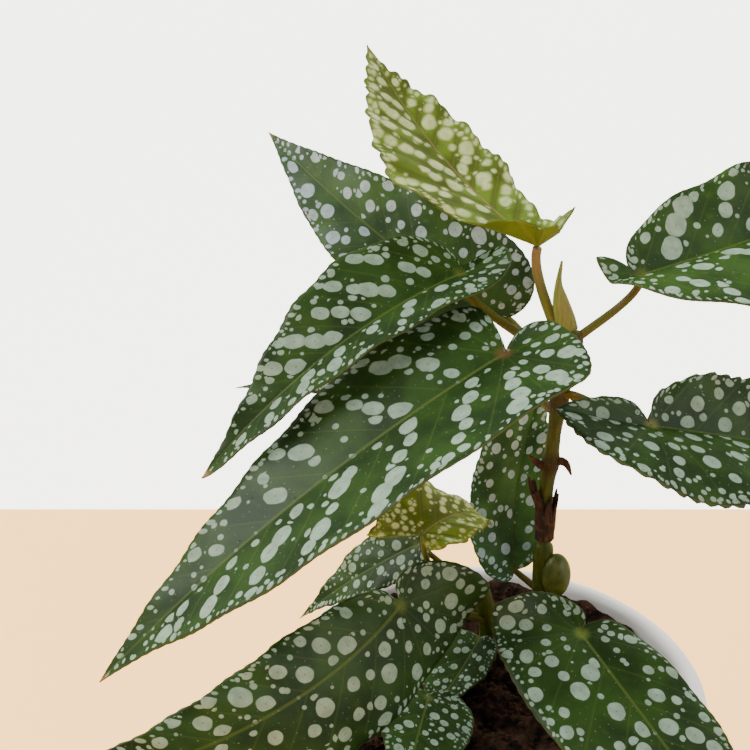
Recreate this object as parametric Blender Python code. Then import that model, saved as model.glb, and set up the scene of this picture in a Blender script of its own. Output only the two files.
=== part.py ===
"""A cane begonia with silver-spotted leaves, standing in a plain white pot.

Lengths are in millimetres and angles in degrees, and MM turns lengths into metres.
The origin is the centre of the pot's foot, +Z is up, and the view in the photograph looks along +Y.
"""
import bpy
import bmesh
from collections import namedtuple
from math import acos, cos, degrees, exp, hypot, pi, radians, sin
from mathutils import Matrix, Vector

MM = 0.001

# Pot: a plain taper with a rounded rim
RIM_RADIUS = 65.0
POT_HEIGHT = 120.0
FOOT_RADIUS = 46.0
WALL = 6.0
FLOOR = 7.0
RIM_ROUND = 2.9
FOOT_ROUND = 2.5
POT_SIDES = 48
DRAIN_RADIUS = 4.0
DRAIN_CIRCLE = 24.0
DRAIN_COUNT = 4

# Soil
SOIL_LEVEL = 110.0
SOIL_LUMP = 1.1
SOIL_RISE = 10.0
SOIL_EDGE = 115.0
SOIL_RINGS = 9
SOIL_SIDES = 36

# Gap left between pieces that touch
GAP = 0.3

# Canes: centre line points from the buried end to the top, with the radius at each
CANE_SIDES = 12
MAIN_CANE = [
    ((20.6, 34, 84), 3.3), ((20.4, 34, 108), 3.3), ((20.1, 34, 128), 3.2), ((20.0, 34, 144), 3.3),
    ((20.0, 34, 147.5), 2.2), ((19.9, 34, 158), 2.1), ((19.8, 34, 169), 2.3), ((20.5, 34, 176), 2.9),
    ((20.8, 34, 182), 2.3),
    ((21.3, 34, 190), 2.4), ((22.0, 34, 198), 3.1), ((22.8, 34, 205), 2.6), ((23.9, 34, 212), 2.9),
    ((24.6, 34, 217), 3.5), ((24.4, 34, 220.5), 2.8),
]
SIDE_CANE = [
    ((2, 22, 88), 2.7), ((1.6, 21.5, 108), 2.7), ((1, 20, 118), 3.1), ((0.4, 19, 124), 2.6),
    ((-0.6, 18, 132), 3.0), ((-2, 17, 139), 2.4), ((-2.6, 16.6, 141.5), 1.7),
]
BUD_CENTRE = (24.3, 31.4, 135.6)
BUD_SIZE = (4.9, 4.4, 8.0)

# Leaves
BLADE = 0.8
RAY_LEAN = 0.75
HEEL_SHARE = 0.2
SINUS_STEP = 0.004
NOTCH_STEPS = 12
LOBE_STEPS = 8
SHOULDER_STEPS = 24
TIP_STEPS = 48
FUNNEL_FROM = 40.0
FUNNEL_SWEEP = 60.0
STALK_SIDES = 8
STALK_STEPS = 9
ROOT_FLARE = 0.25

Half = namedtuple("Half", "lobe_back lobe_out shoulder width fullness taper tip_width waist", defaults=(0,))


def leaf(hub, length, heading, pitch, roll, left, right, **more):
    """One leaf's own values: its stalk meets the blade at the hub, and heading, pitch and roll turn the
    midrib there. Droop bends the midrib down along the leaf, sickle bends it sideways, and heel bends the
    basal lobes. Fold lifts each half from the midrib, cup curls it back, and funnel raises all that lies
    behind the hub. The sinus is where the notch between the lobes ends, and notch holds the two pull points
    that each lobe's edge follows from there, with y outwards from the midrib. Pairs are (left, right)."""
    values = dict(droop=0, sickle=0, heel=15, funnel=0, fold=(10, 10), cup=(12, 12), sinus=(-2.0, 0.0),
                  notch=None, wave=0.7, waves=6, stations=14, rows=3, stalk_radius=1.25, cane="main",
                  root=None, via=(), lift=0.9)
    values.update(hub=hub, length=length, heading=heading, pitch=pitch, roll=roll, left=left, right=right)
    values.update(more)
    return values


# These values weren't all chosen by hand. Each leaf was first fitted by least squares to outlines traced over
# the photograph, then rounded, and part of its values changed by hand after that.
LEAVES = {
    "front": leaf(
        (2, 20, 218), 153, 209, -20, -13,
        Half(17.9, 5.5, -3, 35.7, 119, 42, 13), Half(6.8, 18.5, 32, 29, 12, 42, 11),
        droop=32, sickle=-8.5, heel=43, fold=(15, 9), cup=(-8, 4), sinus=(-1.3, -0.2),
        notch=((-7, -6, -17.9, -5), (-2.5, 3.5, -6.8, 11)), root=204,
        stations=17, waves=7, wave=0.6, stalk_radius=1.5),
    "upper_left": leaf(
        (-9, 52, 234), 106, 216, -10, -11, Half(18, 1, 4, 17, 21, 5, 10), Half(3, 7, 26, 24, 28, 30, 4),
        droop=39, sickle=-3, heel=36, fold=(16, 30), cup=(4, 7), sinus=(-2.9, -3.0), root=208,
        stalk_radius=1.4),
    "back_left": leaf(
        (-2, 61, 220), 102, 164, 31, -69, Half(4, 8, 28, 18, 38, 22, 5), Half(13, 11, 7, 25, 30, 20, 5),
        droop=28, sickle=-12, fold=(13, 10), cup=(11, 12), sinus=(-2.1, 1.1), root=200,
        via=((15, 48, 212), (9, 74, 220))),
    "top_young": leaf(
        (12.8, 36, 247), 104, 128, 19, -1,
        Half(12, 6, 39, 27, 25, 12, 6, 9), Half(6, 13, 34, 15.5, 50, 28, 3, 6),
        droop=-26, sickle=-3, heel=0, funnel=54, fold=(13, 24), cup=(18, 9), sinus=(-10.5, 0.0), root=212,
        lift=2.4, wave=1.0, waves=7, stalk_radius=1.6),
    "right_top": leaf(
        (45, 36, 238), 118, 18, 11, 13, Half(3, 4, 53, 25, 28, 29, 5), Half(12, -9.5, 24, 38, 35, 33, 5, 6),
        droop=1, sickle=11, heel=7, fold=(38, 19), cup=(1, 35), sinus=(-1.6, 1.6),
        notch=((-3, 1.6, -3, 2.5), (-5.5, -9, -12, -10.5)), root=217, wave=0.9),
    "right_middle": leaf(
        (45, 10, 199), 114, 11, -12, 32, Half(0, 5.5, 35, 20, 26, 29, 5), Half(33, 2, 8, 36, 27, 33, 5),
        droop=14, sickle=7, heel=4, fold=(28, 38), cup=(8, 35), sinus=(-1.6, 1.2),
        notch=((-1.4, 2.6, 0, 4), (-6, -15.5, -33, -2)), root=199, wave=1.0),
    "rear": leaf(
        (11, 38, 134), 70, 99, 66, 0, Half(4, 4, 25, 18.5, 31, 15, 9), Half(0, 2, 24, 13, 16, 16, 2),
        droop=15, sickle=-36, fold=(25, 12), sinus=(-1.0, 0.0), root=127, wave=1.0, stations=11,
        stalk_radius=1.1),
    "small_young": leaf(
        (-22, 5, 166), 36, 45, 17, 11, Half(13, 12, 7, 17, 15, 15, 1, 3.5), Half(3, 4, 9, 10, 12, 8, 2),
        droop=65, sickle=-13, heel=0, fold=(16, -1), cup=(-4, 11), sinus=(-0.6, 0.5),
        notch=((-4, 1.2, -9, 6.5), (-1.2, 1.2, -3, 2.6)), cane="side", root=139,
        via=((-21, 6, 150),), lift=0.2, wave=1.0, waves=4, stations=8, rows=2, stalk_radius=0.9),
    "low_rear": leaf(
        (-22.5, 30, 148), 52, 172, -31, -43, Half(4, 5, 12, 9, 14, 14, 2), Half(7, 6, 11, 11, 14, 14, 2),
        droop=12, sickle=10, fold=(12, 9), cup=(12, 13), sinus=(-0.9, 0.1), cane="side", root=132,
        waves=5, stations=11, rows=2, stalk_radius=1.0),
    "low_left": leaf(
        (-29, -10, 150.6), 113, 239, -12, -57,
        Half(28.5, 16, 34, 23.4, 40, 31, 4), Half(-0.3, 4, 36, 15.7, 13, 14, 7),
        droop=58, sickle=-29, heel=29, fold=(3, -3), cup=(18, 14), sinus=(-1.2, -1.0),
        notch=((-3, -14, -28.5, -1), (-1, 2, 0.3, 2.6)), cane="side", root=126,
        wave=0.9, waves=7),
    "low_right": leaf(
        (25, -9, 140), 108, -67, -13, 18,
        Half(2.2, 8.5, 31, 20, 25, 27, 4), Half(21.5, 20, 18, 28, 32, 34, 5),
        droop=43, sickle=14, heel=54, fold=(-8, 23), cup=(23, 16), sinus=(-2.2, 1.8),
        notch=((-2.8, 4, -2.2, 6), (-7, -12, -21.5, 5)), root=118, wave=0.8),
    "low_small_a": leaf(
        (-3, 12, 123.6), 33, 236, -29, 6, Half(2, 4, 8, 9, 15, 12, 2), Half(1.5, 5, 11, 16, 13, 11, 2),
        droop=-28, sickle=3, heel=5, fold=(10, 8), cup=(9, 11), sinus=(-0.8, 0.3), cane="side", root=120,
        lift=0.4, wave=0.5, waves=4, stations=8, rows=2, stalk_radius=0.8),
    "low_small_b": leaf(
        (-20.5, -13.5, 120.4), 50, 258, 3, -12, Half(6, 6, 7, 15, 17, 15, 2), Half(3, 5, 11, 12, 13, 13, 2),
        droop=4, heel=17, fold=(4, 10), cup=(14, 12), sinus=(-1.2, 0.0), cane="side", root=115,
        via=((-16, 10, 114.0), (-28, -8, 115.5)), lift=0.2, wave=0.6, waves=5, stations=9, rows=2,
        stalk_radius=0.9),
    "hidden": leaf(
        (-4, 68, 208), 83, 192, -13, -47, Half(10, 8, 8, 20, 25, 24, 3), Half(3, 6, 19, 14, 19, 24, 1),
        droop=15, sickle=-14, fold=(10, 9), sinus=(-1.6, 0.0), root=193, lift=0.3,
        via=((18, 66, 191), (8, 79, 199)), waves=5, stations=11, rows=2),
}

# Stipules: centre line, half width at each point, how far round the sides curl, and the way the face looks
STIPULE = 0.7
Stipule = namedtuple("Stipule", "line widths curl face colour")

# Colours, linear
GLAZE = (0.82, 0.82, 0.80)
EARTH = (0.022, 0.012, 0.008)
CANE_GREEN = (0.10, 0.105, 0.015)
STALK_OLIVE = (0.13, 0.11, 0.018)
LEAF_GREEN = (0.022, 0.065, 0.018)
YOUNG_GREEN = (0.19, 0.26, 0.035)
DRIED_BROWN = (0.075, 0.022, 0.010)
PAPERY_GREEN = (0.23, 0.22, 0.06)
YOUNG_LEAVES = ("top_young", "small_young")

STIPULES = {
    "papery": Stipule(((24.5, 33.8, 221.3), (23.4, 33.4, 225), (21.9, 33.2, 231), (20.6, 33, 236.5),
                       (19.8, 33, 243.3)), (3.1, 3.3, 2.6, 1.3, 0.3), 100, (0.1, -1, 0.1), PAPERY_GREEN),
    "dried_upper": Stipule(((25.9, 34.8, 198.3), (27.2, 34.7, 197.1), (29.3, 34.6, 197.8)),
                           (0.6, 0.5, 0.3), 0, (0, -1, 0.2), DRIED_BROWN),
    "dried_left": Stipule(((16.9, 33.2, 176), (15.4, 33, 177), (13.2, 32.8, 179.2)),
                          (1.3, 0.9, 0.3), 30, (0, -1, 0.3), DRIED_BROWN),
    "dried_right": Stipule(((23.9, 32.3, 177.2), (25.6, 32.4, 175.9), (27.2, 32.6, 172.2)),
                           (1.2, 1.0, 0.3), 30, (0.2, -1, 0.2), DRIED_BROWN),
}
SLEEVE_BOTTOM = 148.4
SLEEVE_TOP = 162.5
SLEEVE_CENTRE = (20, 34)
SLEEVE_RADIUS = 2.9
SLEEVE_FLARE = 0.5
SLEEVE_THICKNESS = 0.7
TEARS = (2.2, 1.2)
SLEEVE_COLUMNS = 16
SLEEVE_ROWS = 4
SLEEVE_TURN = 320
SPIKE_HEIGHT = 8.0
SPIKE_COLUMN = 4
SPIKE_SPREAD = 1.3
SPIKE_LEAN = 2.6


def clear_scene():
    for item in list(bpy.data.objects):
        bpy.data.objects.remove(item, do_unlink=True)


def material(name, colour, roughness):
    finish = bpy.data.materials.new(name)
    finish.use_nodes = True
    shader = finish.node_tree.nodes["Principled BSDF"]
    shader.inputs["Base Color"].default_value = (*colour, 1.0)
    shader.inputs["Roughness"].default_value = roughness
    shader.inputs["Metallic"].default_value = 0.0
    return finish


def add_object(name, mesh_builder, colour, roughness=0.5):
    """Turn a bmesh in millimetres into an object in metres, smooth shaded, with its own material."""
    mesh = bpy.data.meshes.new(name)
    bmesh.ops.scale(mesh_builder, vec=(MM, MM, MM), verts=mesh_builder.verts)
    mesh_builder.to_mesh(mesh)
    mesh_builder.free()
    mesh.shade_smooth()
    mesh.set_sharp_from_angle(angle=radians(40))
    mesh.materials.append(material(name, colour, roughness))
    made = bpy.data.objects.new(name, mesh)
    bpy.context.scene.collection.objects.link(made)
    return made


def add_cutter(name, mesh_builder):
    cutter = add_object(name, mesh_builder, (0.5, 0.5, 0.5))
    cutter.hide_render = True
    cutter.display_type = "WIRE"
    return cutter


def boolean(target, other, operation):
    step = target.modifiers.new(operation.lower() + " " + other.name, "BOOLEAN")
    step.operation = operation
    step.object = other
    step.solver = "EXACT"


def sheet(columns, rows, place):
    """A grid whose corner (column, row) goes to place(column, row)."""
    made = bmesh.new()
    bmesh.ops.create_grid(made, x_segments=columns, y_segments=rows, size=0.5)
    for corner in made.verts:
        column = round((corner.co.x + 0.5) * columns)
        row = round((corner.co.y + 0.5) * rows)
        corner.co = place(column, row)
    return made


def close_ends(made):
    bmesh.ops.remove_doubles(made, verts=made.verts, dist=0.001)
    open_edges = [edge for edge in made.edges if edge.is_boundary]
    bmesh.ops.holes_fill(made, edges=open_edges, sides=0)
    bmesh.ops.recalc_face_normals(made, faces=made.faces)


def bezier(pulls, t):
    """The point at t on the curve that the pull points draw."""
    while len(pulls) > 1:
        pulls = [start.lerp(end, t) for start, end in zip(pulls, pulls[1:])]
    return pulls[0]


def smooth_path(points, steps):
    """Points on a Catmull-Rom curve through points, each with its radius last."""
    rows = [Vector((*place, radius)) for place, radius in points]
    rows = [rows[0] * 2 - rows[1]] + rows + [rows[-1] * 2 - rows[-2]]
    path = []
    for index in range(1, len(rows) - 2):
        before, start, end, after = rows[index - 1:index + 3]
        for step in range(steps):
            t = step / steps
            path.append(0.5 * (2 * start + (end - before) * t
                               + (2 * before - 5 * start + 4 * end - after) * t * t
                               + (3 * start - before - 3 * end + after) * t ** 3))
    path.append(rows[-2])
    return path


def tube(path, sides, extra=0.0, end_way=None):
    """A closed tube round path, whose points hold x, y, z and the radius. Extra widens it, and
    end_way is the way that its flat end faces."""
    centres = [Vector(point[:3]) for point in path]
    tangents = []
    for index in range(len(centres)):
        ahead = centres[min(index + 1, len(centres) - 1)]
        behind = centres[max(index - 1, 0)]
        tangents.append((ahead - behind).normalized())
    if end_way:
        tangents[-1] = end_way
    side = tangents[0].orthogonal().normalized()
    frames = []
    for tangent in tangents:
        side = (side - tangent * side.dot(tangent)).normalized()
        frames.append((side.copy(), tangent.cross(side)))

    def place(column, row):
        across, up = frames[row]
        angle = 2 * pi * column / sides
        return centres[row] + (path[row][3] + extra) * (cos(angle) * across + sin(angle) * up)

    made = sheet(sides, len(path) - 1, place)
    close_ends(made)
    return made


def turned(profile, sides):
    """A closed solid turned round Z from a profile that starts and ends on the axis."""
    made = bmesh.new()
    corners = [made.verts.new((radius, 0, height)) for radius, height in profile]
    edges = [made.edges.new(pair) for pair in zip(corners, corners[1:])]
    bmesh.ops.spin(made, geom=corners + edges, cent=(0, 0, 0), axis=(0, 0, 1), angle=2 * pi,
                   steps=sides, use_merge=True, use_duplicate=False)
    bmesh.ops.remove_doubles(made, verts=made.verts, dist=0.001)
    bmesh.ops.recalc_face_normals(made, faces=made.faces)
    return made


def arc(centre, radius, first, last, steps):
    points = []
    for step in range(steps + 1):
        angle = radians(first + (last - first) * step / steps)
        points.append((centre[0] + radius * cos(angle), centre[1] + radius * sin(angle)))
    return points


def inner_radius(height):
    """Radius of the pot's inner wall at a height above the foot."""
    share = height / POT_HEIGHT
    return FOOT_RADIUS + (RIM_RADIUS - FOOT_RADIUS) * share - WALL


def make_pot():
    foot_centre = (FOOT_RADIUS - FOOT_ROUND, FOOT_ROUND)
    rim_centre = (RIM_RADIUS - RIM_ROUND, POT_HEIGHT - RIM_ROUND)
    rim_inner = (inner_radius(POT_HEIGHT) + RIM_ROUND, POT_HEIGHT - RIM_ROUND)
    profile = [(0, 0)]
    profile += arc(foot_centre, FOOT_ROUND, -90, -8, 3)
    profile += arc(rim_centre, RIM_ROUND, -8, 90, 4)
    profile += arc(rim_inner, RIM_ROUND, 90, 172, 3)
    profile += [(inner_radius(FLOOR), FLOOR), (0, FLOOR)]
    pot = add_object("pot", turned(profile, POT_SIDES), GLAZE, 0.25)
    drill = bmesh.new()
    for number in range(DRAIN_COUNT):
        angle = 2 * pi * (number + 0.5) / DRAIN_COUNT
        spot = Matrix.Translation((DRAIN_CIRCLE * cos(angle), DRAIN_CIRCLE * sin(angle), FLOOR / 2))
        bmesh.ops.create_cone(drill, cap_ends=True, segments=16, radius1=DRAIN_RADIUS,
                              radius2=DRAIN_RADIUS, depth=3 * FLOOR, matrix=spot)
    boolean(pot, add_cutter("drain_hole_drill", drill), "DIFFERENCE")


def soil_height(x, y):
    lumps = sin(0.31 * x + 1.3) * cos(0.27 * y) + 0.6 * sin(0.55 * y + 0.23 * x)
    lumps += 0.5 * cos(0.61 * x - 0.4 * y)
    return SOIL_LEVEL + SOIL_LUMP * lumps + SOIL_RISE * (hypot(x, y) / RIM_RADIUS) ** 4


def make_soil(cutters):
    bottom = FLOOR + GAP

    def place(column, row):
        angle = 2 * pi * column / SOIL_SIDES
        if row == 0:
            return Vector((0, 0, bottom))
        if row == 1:
            radius = inner_radius(bottom) - GAP
            return Vector((radius * cos(angle), radius * sin(angle), bottom))
        edge = inner_radius(SOIL_EDGE) - 1.6 * GAP
        radius = edge * (SOIL_RINGS + 2 - row) / SOIL_RINGS
        x, y = radius * cos(angle), radius * sin(angle)
        return Vector((x, y, soil_height(x, y)))

    made = sheet(SOIL_SIDES, SOIL_RINGS + 2, place)
    bmesh.ops.remove_doubles(made, verts=made.verts, dist=0.001)
    bmesh.ops.recalc_face_normals(made, faces=made.faces)
    soil = add_object("soil", made, EARTH, 0.95)
    for cutter in cutters:
        boolean(soil, cutter, "DIFFERENCE")


def make_canes():
    """The two canes, and for each a slightly fatter copy that cuts its hole and the stalks' roots."""
    cutters = {}
    for name, points in (("main", MAIN_CANE), ("side", SIDE_CANE)):
        path = smooth_path(points, 2)
        cane = add_object("cane_" + name, tube(path, CANE_SIDES), CANE_GREEN, 0.4)
        fat = tube(lengthened(path, GAP), CANE_SIDES, GAP)
        cutters[name] = add_cutter("cane_clearance_" + name, fat)
        if name == "main":
            bud = bmesh.new()
            turn = Matrix.Translation(BUD_CENTRE) @ Matrix.Diagonal((*BUD_SIZE, 1))
            bmesh.ops.create_uvsphere(bud, u_segments=12, v_segments=8, radius=1, matrix=turn)
            shape = add_cutter("bud_shape", bud)
            boolean(cane, shape, "UNION")
    return cutters


def lengthened(path, extra):
    first = path[0] + (path[0] - path[1]).normalized() * extra
    last = path[-1] + (path[-1] - path[-2]).normalized() * extra
    first[3] = path[0][3]
    last[3] = path[-1][3]
    return [first] + path[1:-1] + [last]


def leaf_frame(values):
    """The blade's own axes at the hub: along the midrib, to its left, and up from its face."""
    heading, pitch, roll = (radians(values[key]) for key in ("heading", "pitch", "roll"))
    along = Vector((cos(pitch) * cos(heading), cos(pitch) * sin(heading), sin(pitch)))
    level = Vector((-sin(heading), cos(heading), 0))
    across = cos(roll) * level + sin(roll) * along.cross(level)
    return along, across, along.cross(across)


def margin(values, half, sinus_y, notch):
    """Outline of one half, flat, with y measured outwards: round the lobe, then out to the tip."""
    length = values["length"]
    start_x, start_y = values["sinus"][0], sinus_y + SINUS_STEP * length
    lobe_x, lobe_y = -half.lobe_back, half.lobe_out
    points = [(start_x, sinus_y)]
    if notch:
        pulls = [Vector(points[0]), Vector(notch[:2]), Vector(notch[2:]), Vector((lobe_x, lobe_y))]
        points += [tuple(bezier(pulls, step / NOTCH_STEPS)) for step in range(1, NOTCH_STEPS + 1)]
    else:
        for step in range(LOBE_STEPS + 1):
            turn = radians(90 * step / LOBE_STEPS)
            points.append((start_x + (lobe_x - start_x) * sin(turn),
                           start_y + (lobe_y - start_y) * (1 - cos(turn))))
    for step in range(1, SHOULDER_STEPS + 1):
        turn = radians(90 * step / SHOULDER_STEPS)
        points.append((half.shoulder - (half.shoulder + half.lobe_back) * cos(turn),
                       lobe_y + (half.width - lobe_y) * sin(turn) - half.waist * sin(2 * turn)))
    pulls = [Vector((half.shoulder, half.width)), Vector((half.shoulder + half.fullness, half.width)),
             Vector((length - half.taper, half.tip_width)), Vector((length, 0.0))]
    for step in range(1, TIP_STEPS + 1):
        points.append(tuple(bezier(pulls, step / TIP_STEPS)))
    return points


def along_line(points, count):
    """Count points spaced evenly along a broken line, without its first."""
    lengths = [0.0]
    for start, end in zip(points, points[1:]):
        lengths.append(lengths[-1] + hypot(end[0] - start[0], end[1] - start[1]))
    found = []
    for number in range(1, count + 1):
        goal = lengths[-1] * number / count
        index = next(i for i in range(1, len(points)) if lengths[i] >= goal - 1e-9)
        span = lengths[index] - lengths[index - 1]
        share = (goal - lengths[index - 1]) / span
        start, end = points[index - 1], points[index]
        found.append((start[0] + (end[0] - start[0]) * share, start[1] + (end[1] - start[1]) * share))
    return found


def rays(values, half, sinus_y, notch):
    """Lines that fan out from the hub into the lobe, then leave the midrib station by station.
    Each is (foot on the midrib, margin x, margin y)."""
    line = margin(values, half, sinus_y, notch)
    feet = [x - RAY_LEAN * y for x, y in line]
    split = max(i for i in range(len(line) - 1) if feet[i] <= 0)
    share = -feet[split] / (feet[split + 1] - feet[split])
    corner = tuple(line[split][a] + (line[split + 1][a] - line[split][a]) * share for a in (0, 1))
    lobe = line[0 if notch else 1:split + 1] + [corner]
    lobe_length = sum(hypot(b[0] - a[0], b[1] - a[1]) for a, b in zip(lobe, lobe[1:]))
    spacing = values["length"] / values["stations"]
    count = max(3, round(lobe_length / spacing))
    found = [(0.0, *line[0])]
    found += [(0.0, x, y) for x, y in along_line(lobe, count)]
    for number in range(1, values["stations"] + 1):
        goal = values["length"] * number / values["stations"]
        index = next((i for i in range(split + 1, len(line)) if feet[i] >= goal - 1e-6), len(line) - 1)
        share = (goal - feet[index - 1]) / (feet[index] - feet[index - 1])
        x, y = (line[index - 1][a] + (line[index][a] - line[index - 1][a]) * share for a in (0, 1))
        found.append((goal, x, y))
    return found


def curl(angle):
    """sin(a)/a and (1 - cos(a))/a, safe at zero."""
    if abs(angle) < 1e-3:
        return 1.0, angle / 2
    return sin(angle) / angle, (1 - cos(angle)) / angle


def bent(values, x, y, lift=0.0):
    """Where the flat point (x, y), with y to the left of the midrib, goes on the bent blade."""
    length = values["length"]
    side = 0 if y >= 0 else 1
    half = (values["left"], values["right"])[side]
    spread = hypot(x, y)
    if spread > 0:
        share = min(1, max(0, (degrees(acos(x / spread)) - FUNNEL_FROM) / FUNNEL_SWEEP))
        lean = radians(values["funnel"]) * share * share * (3 - 2 * share)
        lift += spread * sin(lean)
        x, y = x * cos(lean), y * cos(lean)
    if x > 0:
        turn = radians(values["droop"]) * x / length
    else:
        turn = -radians(values["heel"]) * x / (HEEL_SHARE * length)
    swing = radians(values["sickle"]) * max(x, 0) / length
    straight, sag = curl(turn)
    drift = curl(swing)[1]
    fold = radians(values["fold"][side])
    curving = radians(values["cup"][side]) / half.width
    if abs(curving) < 1e-5:
        curving = 1e-5
    end = fold - curving * abs(y)
    out = (sin(fold) - sin(end)) / curving
    rise = (cos(end) - cos(fold)) / curving + lift
    along = x * straight + sin(turn) * rise
    across = max(x, 0) * drift + (out if side == 0 else -out)
    up = -x * sag + cos(turn) * rise
    return along, across, up


def blade_point(values, x, y, lift):
    axes = leaf_frame(values)
    local = bent(values, x, y, lift)
    return Vector(values["hub"]) + sum((axis * part for axis, part in zip(axes, local)), Vector())


def blade_half(values, side):
    """One half of a blade: rows run from the midrib out to the waved margin."""
    half = (values["left"], values["right"])[side]
    sign = (1, -1)[side]
    fan = rays(values, half, sign * values["sinus"][1], values["notch"] and values["notch"][side])
    rows = values["rows"]

    def place(column, row):
        foot, margin_x, margin_y = fan[column]
        share = row / rows
        around = column / (len(fan) - 1)
        fade = min(1, 6 * around) * min(1, 5 * (1 - around))
        lift = values["wave"] * share ** 2 * fade * sin(2 * pi * values["waves"] * around + 2 * side)
        x = foot + (margin_x - foot) * share
        return blade_point(values, x, sign * margin_y * share, lift)

    made = sheet(len(fan) - 1, rows, place)
    if side == 0:
        bmesh.ops.reverse_faces(made, faces=made.faces)
    return made


def merge_into(target, source):
    """Add the source bmesh to the target one."""
    moved = bpy.data.meshes.new("moved")
    source.to_mesh(moved)
    source.free()
    target.from_mesh(moved)
    bpy.data.meshes.remove(moved)


def make_blade(name, values):
    made = blade_half(values, 0)
    merge_into(made, blade_half(values, 1))
    bmesh.ops.remove_doubles(made, verts=made.verts, dist=0.05)
    bmesh.ops.triangulate(made, faces=made.faces)
    colour = YOUNG_GREEN if name in YOUNG_LEAVES else LEAF_GREEN
    thicken(add_object("blade_" + name, made, colour, 0.35), BLADE)


def cane_point(points, height):
    """The middle of a cane at a height."""
    path = smooth_path(points, 8)
    index = next(i for i in range(1, len(path)) if path[i][2] >= height)
    share = (height - path[index - 1][2]) / (path[index][2] - path[index - 1][2])
    return (path[index - 1] + (path[index] - path[index - 1]) * share).to_3d()


def make_stalk(name, values, cutters):
    """A leaf stalk from the cane's middle to just under the hub. The cane's clearance cuts its root."""
    along, across, up = leaf_frame(values)
    hub = Vector(values["hub"])
    start = cane_point(MAIN_CANE if values["cane"] == "main" else SIDE_CANE, values["root"])
    radius = values["stalk_radius"]
    dip = max(0, -min(values["fold"]))
    end = hub - up * (BLADE / 2 + GAP + radius * sin(radians(dip)))
    reach = (end - start).length
    flat = Vector((end.x - start.x, end.y - start.y, 0)).normalized()
    leave = (flat + Vector((0, 0, values["lift"]))).normalized()
    pulls = [start, start + leave * 0.3 * reach] + [Vector(stop) for stop in values["via"]]
    pulls += [end - up * 0.25 * reach, end]
    path = []
    for step in range(STALK_STEPS + 1):
        t = step / STALK_STEPS
        path.append(Vector((*bezier(pulls, t), radius * (1 + ROOT_FLARE * (1 - t)))))
    stalk = add_object("stalk_" + name, tube(path, STALK_SIDES, 0, up), STALK_OLIVE, 0.45)
    boolean(stalk, cutters[values["cane"]], "DIFFERENCE")


def thicken(made, thickness):
    skin = made.modifiers.new("thickness", "SOLIDIFY")
    skin.thickness = thickness * MM
    skin.offset = 0.0
    skin.use_even_offset = False


def make_stipule(name, values):
    """A pointed scale along a line, its sides curled back from the face."""
    face = Vector(values.face).normalized()
    line = [Vector(point) for point in values.line]
    curl_turn = radians(values.curl)

    def place(column, row):
        ahead, behind = line[min(row + 1, len(line) - 1)], line[max(row - 1, 0)]
        side = face.cross(ahead - behind).normalized()
        across = column - 1
        straight, sag = curl(curl_turn * across)
        return line[row] + values.widths[row] * across * (side * straight - face * sag)

    made = sheet(2, len(line) - 1, place)
    bmesh.ops.triangulate(made, faces=made.faces)
    bmesh.ops.recalc_face_normals(made, faces=made.faces)
    thicken(add_object("stipule_" + name, made, values.colour, 0.6), STIPULE)


def make_sleeve():
    """The torn dry sleeve round the main cane's foot, with one long point on its left."""
    def place(column, row):
        angle = radians(SLEEVE_TURN * (column / SLEEVE_COLUMNS - 0.5) - 90)
        torn = TEARS[0] * sin(2.3 * column + 0.7) + TEARS[1] * sin(5.1 * column)
        point = exp(-((column - SPIKE_COLUMN) / SPIKE_SPREAD) ** 2)
        share = row / SLEEVE_ROWS
        height = SLEEVE_BOTTOM + (SLEEVE_TOP + torn + SPIKE_HEIGHT * point - SLEEVE_BOTTOM) * share
        radius = SLEEVE_RADIUS + SLEEVE_FLARE * share ** 2 * (1 + sin(1.9 * column))
        radius += SPIKE_LEAN * point * share ** 3
        x, y = SLEEVE_CENTRE
        return Vector((x + radius * cos(angle), y + radius * sin(angle), height))

    made = sheet(SLEEVE_COLUMNS, SLEEVE_ROWS, place)
    bmesh.ops.triangulate(made, faces=made.faces)
    bmesh.ops.recalc_face_normals(made, faces=made.faces)
    thicken(add_object("stipule_sleeve", made, DRIED_BROWN, 0.8), SLEEVE_THICKNESS)


def main():
    clear_scene()
    make_pot()
    cutters = make_canes()
    make_soil(cutters.values())
    for name, values in LEAVES.items():
        make_blade(name, values)
        make_stalk(name, values, cutters)
    for name, values in STIPULES.items():
        make_stipule(name, values)
    make_sleeve()


main()
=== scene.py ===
import bpy
import bmesh
import random
from collections import namedtuple
from math import acos, atan2, cos, degrees, exp, hypot, pi, radians, sin
from mathutils import Matrix, Vector


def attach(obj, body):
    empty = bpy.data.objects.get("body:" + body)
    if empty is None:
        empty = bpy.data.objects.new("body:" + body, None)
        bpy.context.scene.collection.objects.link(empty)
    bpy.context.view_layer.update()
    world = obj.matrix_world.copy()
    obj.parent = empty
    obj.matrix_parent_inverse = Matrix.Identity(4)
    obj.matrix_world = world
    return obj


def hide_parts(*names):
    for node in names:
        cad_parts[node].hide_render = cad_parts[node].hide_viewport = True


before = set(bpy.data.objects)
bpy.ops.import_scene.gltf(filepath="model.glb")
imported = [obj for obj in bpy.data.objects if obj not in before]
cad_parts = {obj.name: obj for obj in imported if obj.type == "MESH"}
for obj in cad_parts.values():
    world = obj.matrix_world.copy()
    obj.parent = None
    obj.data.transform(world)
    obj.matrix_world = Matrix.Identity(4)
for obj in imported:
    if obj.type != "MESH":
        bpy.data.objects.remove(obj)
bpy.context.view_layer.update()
print("frame loaded")

mm = 0.001  # the leaf and cane values below are in millimetres


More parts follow.
